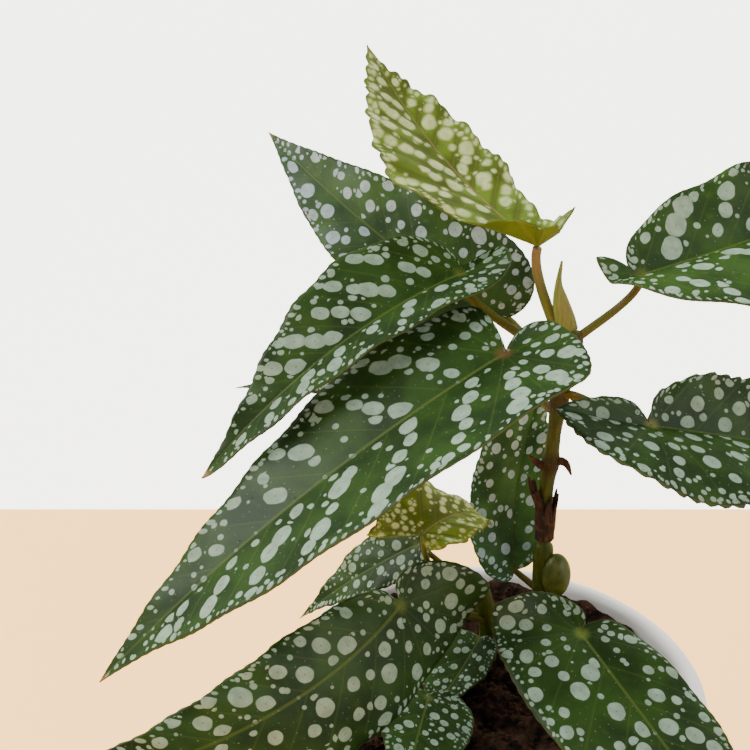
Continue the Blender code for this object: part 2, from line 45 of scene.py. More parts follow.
# A socket in a material. Sums on it add Math nodes.
class Wire:
    def __init__(self, recipe, socket):
        self.recipe = recipe
        self.socket = socket

    def math(self, operation, *values):
        return self.recipe.add("ShaderNodeMath", {"operation": operation}, dict(enumerate(values)))

    # 0 at start and 1 at end, smooth between them
    def rise(self, start, end):
        sockets = {"Value": self, 1: start, 2: end}
        return self.recipe.add("ShaderNodeMapRange", {"interpolation_type": "SMOOTHSTEP"}, sockets)

    def __neg__(self):
        return self * -1.0


wireMethods = {
    "__add__": "ADD", "__sub__": "SUBTRACT", "__mul__": "MULTIPLY", "__truediv__": "DIVIDE",
    "__pow__": "POWER", "__abs__": "ABSOLUTE", "floor": "FLOOR", "fract": "FRACT", "least": "MINIMUM",
    "most": "MAXIMUM", "above": "GREATER_THAN",
}
for name, operation in wireMethods.items():
    setattr(Wire, name, lambda self, *other, kind=operation: self.math(kind, self, *other))
for name, operation in {"__radd__": "ADD", "__rsub__": "SUBTRACT", "__rmul__": "MULTIPLY"}.items():
    setattr(Wire, name, lambda self, other, kind=operation: self.math(kind, other, self))


# A material and the nodes that make it
class Recipe:
    def __init__(self, name, **fixed):
        self.material = bpy.data.materials.new(name)
        self.material.use_nodes = True
        self.tree = self.material.node_tree
        self.shader = self.tree.nodes["Principled BSDF"]
        for socket, value in fixed.items():
            self.shader.inputs[socket.replace("_", " ")].default_value = value

    def add(self, kind, settings, inputs, output=0):
        made = self.tree.nodes.new(kind)
        for key, value in settings.items():
            setattr(made, key, value)
        for key, value in inputs.items():
            if isinstance(value, Wire):
                self.tree.links.new(value.socket, made.inputs[key])
            else:
                made.inputs[key].default_value = value
        return Wire(self, made.outputs[output])

    def place(self):
        return self.add("ShaderNodeTexCoord", {}, {}, "Object")

    def uv(self, name):
        return self.add("ShaderNodeUVMap", {"uv_map": name}, {})

    def split(self, vector):
        node = self.tree.nodes.new("ShaderNodeSeparateXYZ")
        self.tree.links.new(vector.socket, node.inputs[0])
        return [Wire(self, out) for out in node.outputs]

    def join(self, x, y, z):
        return self.add("ShaderNodeCombineXYZ", {}, {0: x, 1: y, 2: z})

    # three random numbers for a cell
    def random(self, x, y, z):
        inputs = {"Vector": self.join(x, y, z)}
        return self.split(self.add("ShaderNodeTexWhiteNoise", {"noise_dimensions": "3D"}, inputs, "Color"))

    def scaled(self, vector, factor):
        return self.add("ShaderNodeVectorMath", {"operation": "SCALE"}, {0: vector, "Scale": factor})

    def noise(self, vector, scale, detail=3.0, roughness=0.5):
        inputs = {"Vector": vector, "Scale": scale, "Detail": detail, "Roughness": roughness}
        return self.add("ShaderNodeTexNoise", {}, inputs, "Fac")

    def mix(self, factor, first, second):
        return self.add("ShaderNodeMix", {"data_type": "RGBA"}, {0: factor, 6: first, 7: second}, 2)

    # Lays colours over the first one, each with its share, and makes that the base colour
    def paint(self, colour, *layers):
        for share, over in layers:
            colour = self.mix(share, colour, over)
        self.set("Base Color", colour)

    def set(self, socket, value):
        self.tree.links.new(value.socket, self.shader.inputs[socket])

    def bump(self, height, distance, strength=1.0):
        inputs = {"Height": height, "Distance": distance, "Strength": strength}
        self.set("Normal", self.add("ShaderNodeBump", {}, inputs))


def newObject(name, data):
    made = bpy.data.objects.new(name, data)
    bpy.context.scene.collection.objects.link(made)
    return made


def newMesh(name, made, scale):
    bmesh.ops.scale(made, vec=scale, verts=made.verts)
    mesh = bpy.data.meshes.new(name)
    made.to_mesh(mesh)
    made.free()
    return mesh


def finishPiece(name, made, material, replaced=()):
    mesh = newMesh(name, made, (mm, mm, mm))
    mesh.shade_smooth()
    mesh.materials.append(material)
    piece = newObject(name, mesh)
    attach(piece, "root")
    if replaced:
        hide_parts(*replaced)
    return piece


def thicken(piece, thickness):
    skin = piece.modifiers.new("thickness", "SOLIDIFY")
    skin.thickness = thickness * mm
    skin.offset = 0.0
    return skin


# A grid whose corner (column, row) goes to place(column, row), with its UV maps from maps(column, row)
def makeSheet(columns, rows, place, maps=None):
    made = bmesh.new()
    bmesh.ops.create_grid(made, x_segments=columns, y_segments=rows, size=0.5)
    spots = {corner: (round((corner.co.x + 0.5) * columns), round((corner.co.y + 0.5) * rows))
             for corner in made.verts}
    if maps:
        for name in maps(0, 0):
            made.loops.layers.uv.new(name)
        for corner in made.verts:
            for name, value in maps(*spots[corner]).items():
                layer = made.loops.layers.uv[name]
                for loop in corner.link_loops:
                    loop[layer].uv = value
    for corner in made.verts:
        corner.co = place(*spots[corner])
    return made


def addTo(target, source):
    moved = bpy.data.meshes.new("moved")
    source.to_mesh(moved)
    source.free()
    target.from_mesh(moved)
    bpy.data.meshes.remove(moved)


def bezierPoint(pulls, t):
    while len(pulls) > 1:
        pulls = [start.lerp(end, t) for start, end in zip(pulls, pulls[1:])]
    return pulls[0]


def bezierLine(pulls, steps):
    pulls = [Vector(pull) for pull in pulls]
    return [tuple(bezierPoint(pulls, step / steps)) for step in range(1, steps + 1)]


# Points on a smooth curve through the given ones, each with its radius last
def smoothPath(points, steps):
    rows = [Vector((*place, radius)) for place, radius in points]
    rows = [rows[0] * 2 - rows[1]] + rows + [rows[-1] * 2 - rows[-2]]
    path = []
    for index in range(1, len(rows) - 2):
        before, start, end, after = rows[index - 1:index + 3]
        for step in range(steps):
            t = step / steps
            path.append(0.5 * (2 * start + (end - before) * t
                               + (2 * before - 5 * start + 4 * end - after) * t * t
                               + (3 * start - before - 3 * end + after) * t ** 3))
    path.append(rows[-2])
    return path


def closeEnds(made):
    bmesh.ops.remove_doubles(made, verts=made.verts, dist=0.001)
    openEdges = [edge for edge in made.edges if edge.is_boundary]
    bmesh.ops.holes_fill(made, edges=openEdges, sides=0)
    bmesh.ops.recalc_face_normals(made, faces=made.faces)


# A closed tube. Its UV map "skin" holds the way round in turns and the way along in millimetres.
def makeTube(path, sides, endWay=None, ripple=None):
    centres = [Vector(point[:3]) for point in path]
    tangents = []
    for index in range(len(centres)):
        ahead = centres[min(index + 1, len(centres) - 1)]
        behind = centres[max(index - 1, 0)]
        tangents.append((ahead - behind).normalized())
    if endWay:
        tangents[-1] = endWay
    side = tangents[0].orthogonal().normalized()
    frames, along = [], [0.0]
    for index, tangent in enumerate(tangents):
        side = (side - tangent * side.dot(tangent)).normalized()
        frames.append((side.copy(), tangent.cross(side)))
        if index:
            along.append(along[-1] + (centres[index] - centres[index - 1]).length)

    def place(column, row):
        across, up = frames[row]
        angle = 2 * pi * column / sides
        swell = ripple(angle, along[row]) if ripple else 0
        return centres[row] + (path[row][3] + swell) * (cos(angle) * across + sin(angle) * up)

    def maps(column, row):
        return {"skin": (column / sides, along[row])}

    made = makeSheet(sides, len(path) - 1, place, maps)
    closeEnds(made)
    return made


# Leaf shape, from the same values as the solids
Half = namedtuple("Half", "lobeBack lobeOut shoulder width fullness taper tipWidth waist", defaults=(0,))
leafSurface = {
    "thickness": 0.5, "rowCount": 14, "rayLean": 0.75, "funnelFrom": 40.0, "funnelSweep": 60.0,
    "heelShare": 0.2, "sinusStep": 0.004, "notchSteps": 24, "lobeSteps": 16, "shoulderSteps": 48,
    "tipSteps": 72,
}


def leaf(hub, length, heading, pitch, roll, left, right, **more):
    values = dict(droop=0, sickle=0, heel=15, funnel=0, fold=(10, 10), cup=(12, 12), sinus=(-2.0, 0.0),
                  notch=None, wave=0.7, waves=6, stations=14, stalkRadius=1.25, cane="main", root=None,
                  via=(), lift=0.9, detail=6, teeth=0.35, spots="round", rowShare=0.13, toothStep=3.9,
                  hubTone=(0.085, 0.11, 0.016, 1), tint=(1, 1, 1), pillow=0.16)
    values.update(hub=hub, length=length, heading=heading, pitch=pitch, roll=roll, left=left, right=right)
    values.update(more)
    return values


# These values weren't all chosen by hand. Each leaf was first fitted by least squares to outlines traced over
# the photograph, then rounded, and part of its values changed after that.
# Some leaves carry tint: painted light that brightens a shaded leaf, and on back_left a painted bluish sheen
leaves = {
    "front": leaf(
        (2, 20, 218), 153, 209, -20, -13,
        Half(17.9, 5.5, -3, 35.7, 119, 42, 13), Half(6.8, 18.5, 32, 29, 12, 42, 11),
        droop=32, sickle=-8.5, heel=43, fold=(15, 9), cup=(-8, 4), sinus=(-1.3, -0.2),
        notch=((-7, -6, -17.9, -5), (-2.5, 3.5, -6.8, 11)), root=204,
        stations=17, waves=7, wave=0.6, stalkRadius=1.5,
        spots="chains", seed=1.0, detail=7, rowShare=0.137,
        hubTone=(0.11, 0.055, 0.018, 1)),
    "upper_left": leaf(
        (-9, 52, 234), 106, 216, -10, -11, Half(18, 1, 4, 17, 21, 5, 10), Half(3, 7, 26, 24, 28, 30, 4),
        droop=39, sickle=-3, heel=36, fold=(16, 30), cup=(4, 7), sinus=(-2.9, -3.0), root=208,
        stalkRadius=1.4,
        spots="chains", seed=2.0, detail=7, rowShare=0.123),
    "back_left": leaf(
        (-2, 61, 220), 102, 164, 31, -69, Half(4, 8, 28, 18, 38, 22, 5), Half(13, 11, 7, 25, 30, 20, 5),
        droop=28, sickle=-12, fold=(13, 10), cup=(11, 12), sinus=(-2.1, 1.1), root=200,
        via=((15, 48, 212), (9, 74, 220)),
        seed=3.0, teeth=0.3, rowShare=0.12,
        tint=(1.85, 1.7, 3.8)),
    "top_young": leaf(
        (12.8, 36, 247), 104, 128, 19, -1,
        Half(12, 6, 39, 27, 25, 12, 6, 9), Half(6, 13, 34, 15.5, 50, 28, 3, 6),
        droop=-26, sickle=-3, heel=0, funnel=54, fold=(13, 24), cup=(18, 9), sinus=(-10.5, 0.0), root=212,
        lift=2.4, wave=1.0, waves=7, stalkRadius=1.6,
        spots="young", seed=4.0, detail=7, teeth=1.3, rowShare=0.105, toothStep=6.5,
        pillow=0.45),
    "right_top": leaf(
        (45, 36, 238), 118, 18, 11, 13, Half(3, 4, 53, 25, 28, 29, 5), Half(12, -9.5, 24, 38, 35, 33, 5, 6),
        droop=1, sickle=11, heel=7, fold=(38, 19), cup=(1, 35), sinus=(-1.6, 1.6),
        notch=((-3, 1.6, -3, 2.5), (-5.5, -9, -12, -10.5)), root=217, wave=0.9,
        spots="ovals", seed=5.0, teeth=0.2,
        tint=(1.4, 1.35, 1.3)),
    "right_middle": leaf(
        (45, 10, 199), 114, 11, -12, 32, Half(0, 5.5, 35, 20, 26, 29, 5), Half(33, 2, 8, 36, 27, 33, 5),
        droop=14, sickle=7, heel=4, fold=(28, 38), cup=(8, 35), sinus=(-1.6, 1.2),
        notch=((-1.4, 2.6, 0, 4), (-6, -15.5, -33, -2)), root=199, wave=1.0,
        seed=6.0, teeth=1.4, rowShare=0.125, toothStep=5.2,
        hubTone=(0.19, 0.20, 0.05, 1)),
    "rear": leaf(
        (11, 38, 134), 70, 99, 66, 0, Half(4, 4, 25, 18.5, 31, 15, 9), Half(0, 2, 24, 13, 16, 16, 2),
        droop=15, sickle=-36, fold=(25, 12), sinus=(-1.0, 0.0), root=127, wave=1.0, stations=11,
        stalkRadius=1.1,
        seed=7.0, teeth=0.5, rowShare=0.15, tint=(3.2, 3.3, 6.5)),
    "small_young": leaf(
        (-22, 5, 166), 36, 45, 17, 11, Half(13, 12, 7, 17, 15, 15, 1, 3.5), Half(3, 4, 9, 10, 12, 8, 2),
        droop=65, sickle=-13, heel=0, fold=(16, -1), cup=(-4, 11), sinus=(-0.6, 0.5),
        notch=((-4, 1.2, -9, 6.5), (-1.2, 1.2, -3, 2.6)), cane="side", root=139,
        via=((-21, 6, 150),), lift=0.2, wave=1.0, waves=4, stations=8, stalkRadius=0.9,
        spots="young", seed=8.0, detail=8, teeth=0.7, rowShare=0.16,
        tint=(1.35, 1.25, 1.2)),
    "low_rear": leaf(
        (-22.5, 30, 148), 52, 172, -31, -43, Half(4, 5, 12, 9, 14, 14, 2), Half(7, 6, 11, 11, 14, 14, 2),
        droop=12, sickle=10, fold=(12, 9), cup=(12, 13), sinus=(-0.9, 0.1), cane="side", root=132,
        waves=5, stations=11, stalkRadius=1.0,
        seed=9.0, detail=5, teeth=0.4, rowShare=0.16),
    "low_left": leaf(
        (-29, -10, 150.6), 113, 239, -12, -57,
        Half(28.5, 16, 34, 23.4, 40, 31, 4), Half(-0.3, 4, 36, 15.7, 13, 14, 7),
        droop=58, sickle=-29, heel=29, fold=(3, -3), cup=(18, 14), sinus=(-1.2, -1.0),
        notch=((-3, -14, -28.5, -1), (-1, 2, 0.3, 2.6)), cane="side", root=126,
        wave=0.9, waves=7,
        seed=10.0, detail=7, rowShare=0.115),
    "low_right": leaf(
        (25, -9, 140), 108, -67, -13, 18,
        Half(2.2, 8.5, 31, 20, 25, 27, 4), Half(21.5, 20, 18, 28, 32, 34, 5),
        droop=43, sickle=14, heel=54, fold=(-8, 23), cup=(23, 16), sinus=(-2.2, 1.8),
        notch=((-2.8, 4, -2.2, 6), (-7, -12, -21.5, 5)), root=118, wave=0.8,
        seed=11.0, detail=7, rowShare=0.115,
        hubTone=(0.12, 0.17, 0.02, 1)),
    "low_small_a": leaf(
        (-3, 12, 123.6), 33, 236, -29, 6, Half(2, 4, 8, 9, 15, 12, 2), Half(1.5, 5, 11, 16, 13, 11, 2),
        droop=-28, sickle=3, heel=5, fold=(10, 8), cup=(9, 11), sinus=(-0.8, 0.3), cane="side", root=120,
        lift=0.4, wave=0.5, waves=4, stations=8, stalkRadius=0.8,
        seed=12.0, teeth=0.3, rowShare=0.2),
    "low_small_b": leaf(
        (-20.5, -13.5, 120.4), 50, 258, 3, -12, Half(6, 6, 7, 15, 17, 15, 2), Half(3, 5, 11, 12, 13, 13, 2),
        droop=4, heel=17, fold=(4, 10), cup=(14, 12), sinus=(-1.2, 0.0), cane="side", root=115,
        via=((-16, 10, 114.0), (-28, -8, 115.5)), lift=0.2, wave=0.6, waves=5, stations=9,
        stalkRadius=0.9,
        seed=13.0, teeth=0.3, rowShare=0.16),
    "hidden": leaf(
        (-4, 68, 208), 83, 192, -13, -47, Half(10, 8, 8, 20, 25, 24, 3), Half(3, 6, 19, 14, 19, 24, 1),
        droop=15, sickle=-14, fold=(10, 9), sinus=(-1.6, 0.0), root=193, lift=0.3,
        via=((18, 66, 191), (8, 79, 199)), waves=5, stations=11,
        seed=14.0, detail=5, teeth=0.3, rowShare=0.15),
}

# "back_left" is built as backLeftBlade and backLeftStalk
for name, values in leaves.items():
    first, *rest = name.split("_")
    values["pieceName"] = first + "".join(word.capitalize() for word in rest)


def leafFrame(values):
    heading, pitch, roll = (radians(values[key]) for key in ("heading", "pitch", "roll"))
    along = Vector((cos(pitch) * cos(heading), cos(pitch) * sin(heading), sin(pitch)))
    level = Vector((-sin(heading), cos(heading), 0))
    across = cos(roll) * level + sin(roll) * along.cross(level)
    return along, across, along.cross(across)


# Outline of one half, flat, with y outwards: round the lobe, then out to the tip
def leafMargin(values, half, sinusY, notch):
    length = values["length"]
    startX, startY = values["sinus"][0], sinusY + leafSurface["sinusStep"] * length
    lobeX, lobeY = -half.lobeBack, half.lobeOut
    points = [(startX, sinusY)]
    if notch:
        points += bezierLine((points[0], notch[:2], notch[2:], (lobeX, lobeY)), leafSurface["notchSteps"])
    else:
        steps = leafSurface["lobeSteps"]
        for step in range(steps + 1):
            turn = radians(90 * step / steps)
            points.append((startX + (lobeX - startX) * sin(turn),
                           startY + (lobeY - startY) * (1 - cos(turn))))
    steps = leafSurface["shoulderSteps"]
    for step in range(1, steps + 1):
        turn = radians(90 * step / steps)
        points.append((half.shoulder - (half.shoulder + half.lobeBack) * cos(turn),
                       lobeY + (half.width - lobeY) * sin(turn) - half.waist * sin(2 * turn)))
    pulls = ((half.shoulder, half.width), (half.shoulder + half.fullness, half.width),
             (length - half.taper, half.tipWidth), (length, 0.0))
    return points + bezierLine(pulls, leafSurface["tipSteps"])


def alongLine(points, count):
    lengths = [0.0]
    for start, end in zip(points, points[1:]):
        lengths.append(lengths[-1] + hypot(end[0] - start[0], end[1] - start[1]))
    found = []
    index = 1
    for number in range(1, count + 1):
        goal = lengths[-1] * number / count
        while lengths[index] < goal - 1e-9:
            index += 1
        share = (goal - lengths[index - 1]) / (lengths[index] - lengths[index - 1])
        start, end = points[index - 1], points[index]
        found.append((start[0] + (end[0] - start[0]) * share, start[1] + (end[1] - start[1]) * share))
    return found


# Rays that fan out from the hub into the lobe, then leave the midrib. Each is the foot on the midrib and the
# x and y of its end on the margin.
def leafRays(values, half, sinusY, notch):
    line = leafMargin(values, half, sinusY, notch)
    lean = leafSurface["rayLean"]
    feet = [x - lean * y for x, y in line]
    split = max(i for i in range(len(line) - 1) if feet[i] <= 0)
    share = -feet[split] / (feet[split + 1] - feet[split])
    corner = tuple(line[split][a] + (line[split + 1][a] - line[split][a]) * share for a in (0, 1))
    lobe = line[0 if notch else 1:split + 1] + [corner]
    lobeLength = sum(hypot(b[0] - a[0], b[1] - a[1]) for a, b in zip(lobe, lobe[1:]))
    count = max(3, round(lobeLength * values["stations"] / values["length"])) * values["detail"]
    stations = values["stations"] * values["detail"]
    found = [(0.0, *line[0])]
    found += [(0.0, x, y) for x, y in alongLine(lobe, count)]
    index = split + 1
    for number in range(1, stations + 1):
        goal = values["length"] * number / stations
        while index < len(line) - 1 and feet[index] < goal - 1e-6:
            index += 1
        share = (goal - feet[index - 1]) / (feet[index] - feet[index - 1])
        x, y = (line[index - 1][a] + (line[index][a] - line[index - 1][a]) * share for a in (0, 1))
        found.append((goal, x, y))
    return found


def curlParts(angle):
    if abs(angle) < 1e-3:
        return 1.0, angle / 2
    return sin(angle) / angle, (1 - cos(angle)) / angle


# Where the flat point (x, y) goes on the bent blade
def bentPoint(values, x, y, lift):
    length = values["length"]
    side = 0 if y >= 0 else 1
    half = (values["left"], values["right"])[side]
    spread = hypot(x, y)
    if spread > 0:
        away = degrees(acos(max(-1, min(1, x / spread))))
        share = min(1, max(0, (away - leafSurface["funnelFrom"]) / leafSurface["funnelSweep"]))
        lean = radians(values["funnel"]) * share * share * (3 - 2 * share)
        lift += spread * sin(lean)
        x, y = x * cos(lean), y * cos(lean)
    if x > 0:
        turn = radians(values["droop"]) * x / length
    else:
        turn = -radians(values["heel"]) * x / (leafSurface["heelShare"] * length)
    swing = radians(values["sickle"]) * max(x, 0) / length
    straight, sag = curlParts(turn)
    drift = curlParts(swing)[1]
    fold = radians(values["fold"][side])
    curving = radians(values["cup"][side]) / half.width
    if abs(curving) < 1e-5:
        curving = 1e-5
    end = fold - curving * abs(y)
    out = (sin(fold) - sin(end)) / curving
    rise = (cos(end) - cos(fold)) / curving + lift
    along = x * straight + sin(turn) * rise
    across = max(x, 0) * drift + (out if side == 0 else -out)
    up = -x * sag + cos(turn) * rise
    return along, across, up


leafVeins = {"leanAtHub": 0.85, "leanGain": 0.8, "fanDegrees": 27.0}


# Which vein row a flat point lies in, how far out it is, and how wide the row is there
def veinPlace(values, x, y):
    length = values["length"]
    spacing = values["rowShare"] * length
    y = abs(y)
    lean, gain = leafVeins["leanAtHub"], leafVeins["leanGain"] / length
    foot = (x - lean * y) / (1 + gain * y)
    if foot >= 0:
        return foot / spacing, hypot(x - foot, y), spacing / hypot(1, lean + gain * foot)
    fan = radians(leafVeins["fanDegrees"])
    reach = hypot(x, y)
    return (atan2(1, lean) - atan2(y, x)) / fan, reach, reach * fan


bladeEdge = {"fadeIn": 6, "fadeOut": 12, "waveOut": 5, "toothDrift": 0.35, "driftLength": 7.3,
             "toothSlant": 1.5, "toothBase": 0.4, "pillowWidth": 8, "pillowReach": 6, "seam": 0.02}


def halfBlade(values, side):
    half = (values["left"], values["right"])[side]
    sign = (1, -1)[side]
    fan = leafRays(values, half, sign * values["sinus"][1], values["notch"] and values["notch"][side])
    rows = leafSurface["rowCount"]
    axes = leafFrame(values)
    hub = Vector(values["hub"])
    arcs = [0.0]
    for before, after in zip(fan, fan[1:]):
        arcs.append(arcs[-1] + hypot(after[1] - before[1], after[2] - before[2]))

    def flatPoint(column, row):
        foot, marginX, marginY = fan[column]
        share = row / rows
        reach = hypot(marginX - foot, marginY)
        around = column / (len(fan) - 1)
        fade = min(1, bladeEdge["fadeIn"] * around) * min(1, bladeEdge["fadeOut"] * (1 - around))
        if row == rows and reach > 1:
            drift = bladeEdge["toothDrift"] * sin(arcs[column] / bladeEdge["driftLength"] + values["seed"])
            tooth = sin(pi * ((arcs[column] / values["toothStep"] + drift) % 1) ** bladeEdge["toothSlant"])
            share += fade * values["teeth"] * (tooth - bladeEdge["toothBase"]) / reach
        return foot + (marginX - foot) * share, marginY * share, around, fade, (1 - share) * reach

    def place(column, row):
        x, y, around, fade, _ = flatPoint(column, row)
        share = row / rows
        edge = min(1, bladeEdge["fadeIn"] * around) * min(1, bladeEdge["waveOut"] * (1 - around))
        lift = values["wave"] * share ** 2 * edge * sin(2 * pi * values["waves"] * around + 2 * side)
        vein, reach, width = veinPlace(values, x, y)
        between = 0.5 - 0.5 * cos(2 * pi * vein)
        room = min(1, width / bladeEdge["pillowWidth"]) * min(1, reach / bladeEdge["pillowReach"])
        lift += values["pillow"] * between * room * (1 - share ** 3) * fade
        local = bentPoint(values, x, sign * y, lift)
        return hub + sum((axis * part for axis, part in zip(axes, local)), Vector())

    def maps(column, row):
        x, y, _, _, rim = flatPoint(column, row)
        return {"flat": (x, sign * y), "edge": (arcs[column] + 500 * side, rim)}

    made = makeSheet(len(fan) - 1, rows, place, maps)
    if side == 1:
        bmesh.ops.reverse_faces(made, faces=made.faces)
    return made


def makeBlade(name, values, faceMaterial, backMaterial):
    made = halfBlade(values, 0)
    addTo(made, halfBlade(values, 1))
    bmesh.ops.remove_doubles(made, verts=made.verts, dist=bladeEdge["seam"])
    blade = finishPiece(values["pieceName"] + "Blade", made, faceMaterial, ["blade_" + name])
    blade.data.materials.append(backMaterial)
    thicken(blade, leafSurface["thickness"]).material_offset = 1


# Leaf colours, linear
matureColours = {
    "deep": (0.0085, 0.0250, 0.0035, 1), "green": (0.019, 0.051, 0.0055, 1), "light": (0.045, 0.090, 0.010, 1),
    "silver": (0.245, 0.345, 0.26, 1), "silverDull": (0.16, 0.23, 0.165, 1), "vein": (0.080, 0.115, 0.016, 1),
    "rim": (0.11, 0.12, 0.035, 1), "tan": (0.26, 0.13, 0.05, 1),
}
youngColours = {
    "deep": (0.050, 0.075, 0.003, 1), "green": (0.115, 0.185, 0.014, 1), "light": (0.20, 0.27, 0.045, 1),
    "silver": (0.50, 0.56, 0.26, 1), "silverDull": (0.34, 0.41, 0.15, 1), "vein": (0.25, 0.16, 0.07, 1),
    "rim": (0.075, 0.070, 0.015, 1), "tan": (0.20, 0.13, 0.03, 1),
}
# The first five are millimetres on a leaf 150 mm long, the others shares
SpotPlan = namedtuple("SpotPlan", "step small large wiggle soft gaps dots pull stray between hollows")
spotPlans = {
    "chains": SpotPlan(7.1, 1.7, 3.2, 0.55, 0.17, 0.12, 0.46, 0.74, 0.3, 0.56, 0.0),
    "round": SpotPlan(8.6, 1.7, 3.3, 0.5, 0.17, 0.12, 0.46, 0.92, 0.9, 0.5, 0.0),
    "ovals": SpotPlan(8.6, 2.0, 4.0, 0.6, 0.2, 0.06, 0.4, 0.78, 0.5, 0.5, 0.0),
    "young": SpotPlan(7.0, 1.6, 3.1, 1.0, 0.9, 0.12, 0.36, 0.80, 0.5, 0.45, 0.8),
}
spotSizes = {"leaf": 150, "power": 0.6, "medium": (7.3, 0.8, 2.1), "smallest": (3.6, 0.4, 1.25), "bead": 3.3,
             "beadIn": 1.2, "beadSpread": 1.2, "beadSmall": 0.4, "beadGrowth": 0.75, "beadGaps": 0.25}


# The vein rows as a material sees them: the row's number, the place along and across it, its width, the
# distance from the nearest vein and the room for a spot
def veinRows(recipe, values):
    length = values["length"]
    spacing = values["rowShare"] * length
    lean, gain = leafVeins["leanAtHub"], leafVeins["leanGain"] / length
    fan = radians(leafVeins["fanDegrees"])
    base = atan2(1, lean)
    x, y, _ = recipe.split(recipe.uv("flat"))
    away = abs(y)
    foot = (x - away * lean) / (away * gain + 1)
    ahead = foot.above(0.0)
    reach = (x * x + away * away) ** 0.5
    vein = ahead * foot / spacing + (1 - ahead) * (base - away.math("ARCTAN2", away, x)) / fan
    row = vein.floor()
    centre = (row + 0.5).most(0.0) * spacing
    slope = centre * gain + lean
    angle = slope.math("ARCTAN2", 1.0, slope) + (-(row + 0.5)).most(0.0) * fan
    sine, cosine = angle.math("SINE", angle), angle.math("COSINE", angle)
    along = (x - centre) * cosine + away * sine
    across = away * cosine - (x - centre) * sine
    width = ahead * sine * spacing + (1 - ahead) * reach * fan
    offVein = abs(vein - (vein + 0.5).floor()) * width
    side = y.above(0.0)
    return {"x": x, "away": away, "row": row + side * 20, "along": along, "across": across,
            "width": width, "offVein": offVein, "room": width * (0.27 + ahead * 0.16)}


# How far a point is outside the nearest spot of its vein row, in millimetres, and the pits in the spots
def rowSpots(recipe, rows, plan, unit, seed):
    width = rows["width"]
    start = recipe.random(rows["row"], seed, 0.0)[0]
    step = plan.step * unit
    cell = (rows["along"] / step + start).floor()
    nearest = pits = None
    for offset in (-1.0, 0.0, 1.0):
        here = cell + offset
        first, second, third = recipe.random(rows["row"], here, seed)
        centre = (here + 0.5 - start + (first - 0.5) * 0.4) * step
        size = ((plan.small + (plan.large - plan.small) * second) * unit).least(rows["room"])
        present = third.above(plan.gaps) * centre.above(4.5 * unit)
        room = (width - size * 2).most(0.0) * plan.stray
        stray = ((first * 5.7 + second * 3.1).fract() - 0.5) * room
        lengthwise = (rows["along"] - centre) * plan.pull
        crosswise = rows["across"] - stray
        reach = (lengthwise * lengthwise + crosswise * crosswise) ** 0.5
        gap = reach - size * present + (1 - present) * 3
        pit = 1 - reach.rise(0.08, 0.34)
        nearest = gap if nearest is None else nearest.least(gap)
        pits = pit if pits is None else pits.most(pit)
    return nearest, pits


# How far a point is outside the nearest of some scattered spots. The sizes are spacing, smallest and largest.
def scatteredSpots(recipe, flat, sizes, share, seed):
    spacing, small, large = sizes
    shift = (seed * 37.0, seed * 11.0, 0)
    moved = recipe.add("ShaderNodeVectorMath", {"operation": "ADD"}, {0: flat, 1: shift})
    inputs = {"Vector": recipe.scaled(moved, 1.0 / spacing), "Scale": 1.0, "Randomness": 0.8}
    distance = recipe.add("ShaderNodeTexVoronoi", {"voronoi_dimensions": "2D"}, inputs, "Distance")
    first, second, _ = recipe.split(Wire(recipe, distance.socket.node.outputs["Color"]))
    size = small + (large - small) * first ** 1.4
    present = (share - second).above(0.0)
    return distance * spacing - size * present + (1 - present) * 2


# How strongly a leaf's painted light tells on each colour: it brightens a leaf that sits in shade, and its
# blue share paints a bluish sheen
paintedLightPowers = {"deep": 1.0, "green": 1.0, "light": 1.0, "silver": 0.5, "silverDull": 0.5}


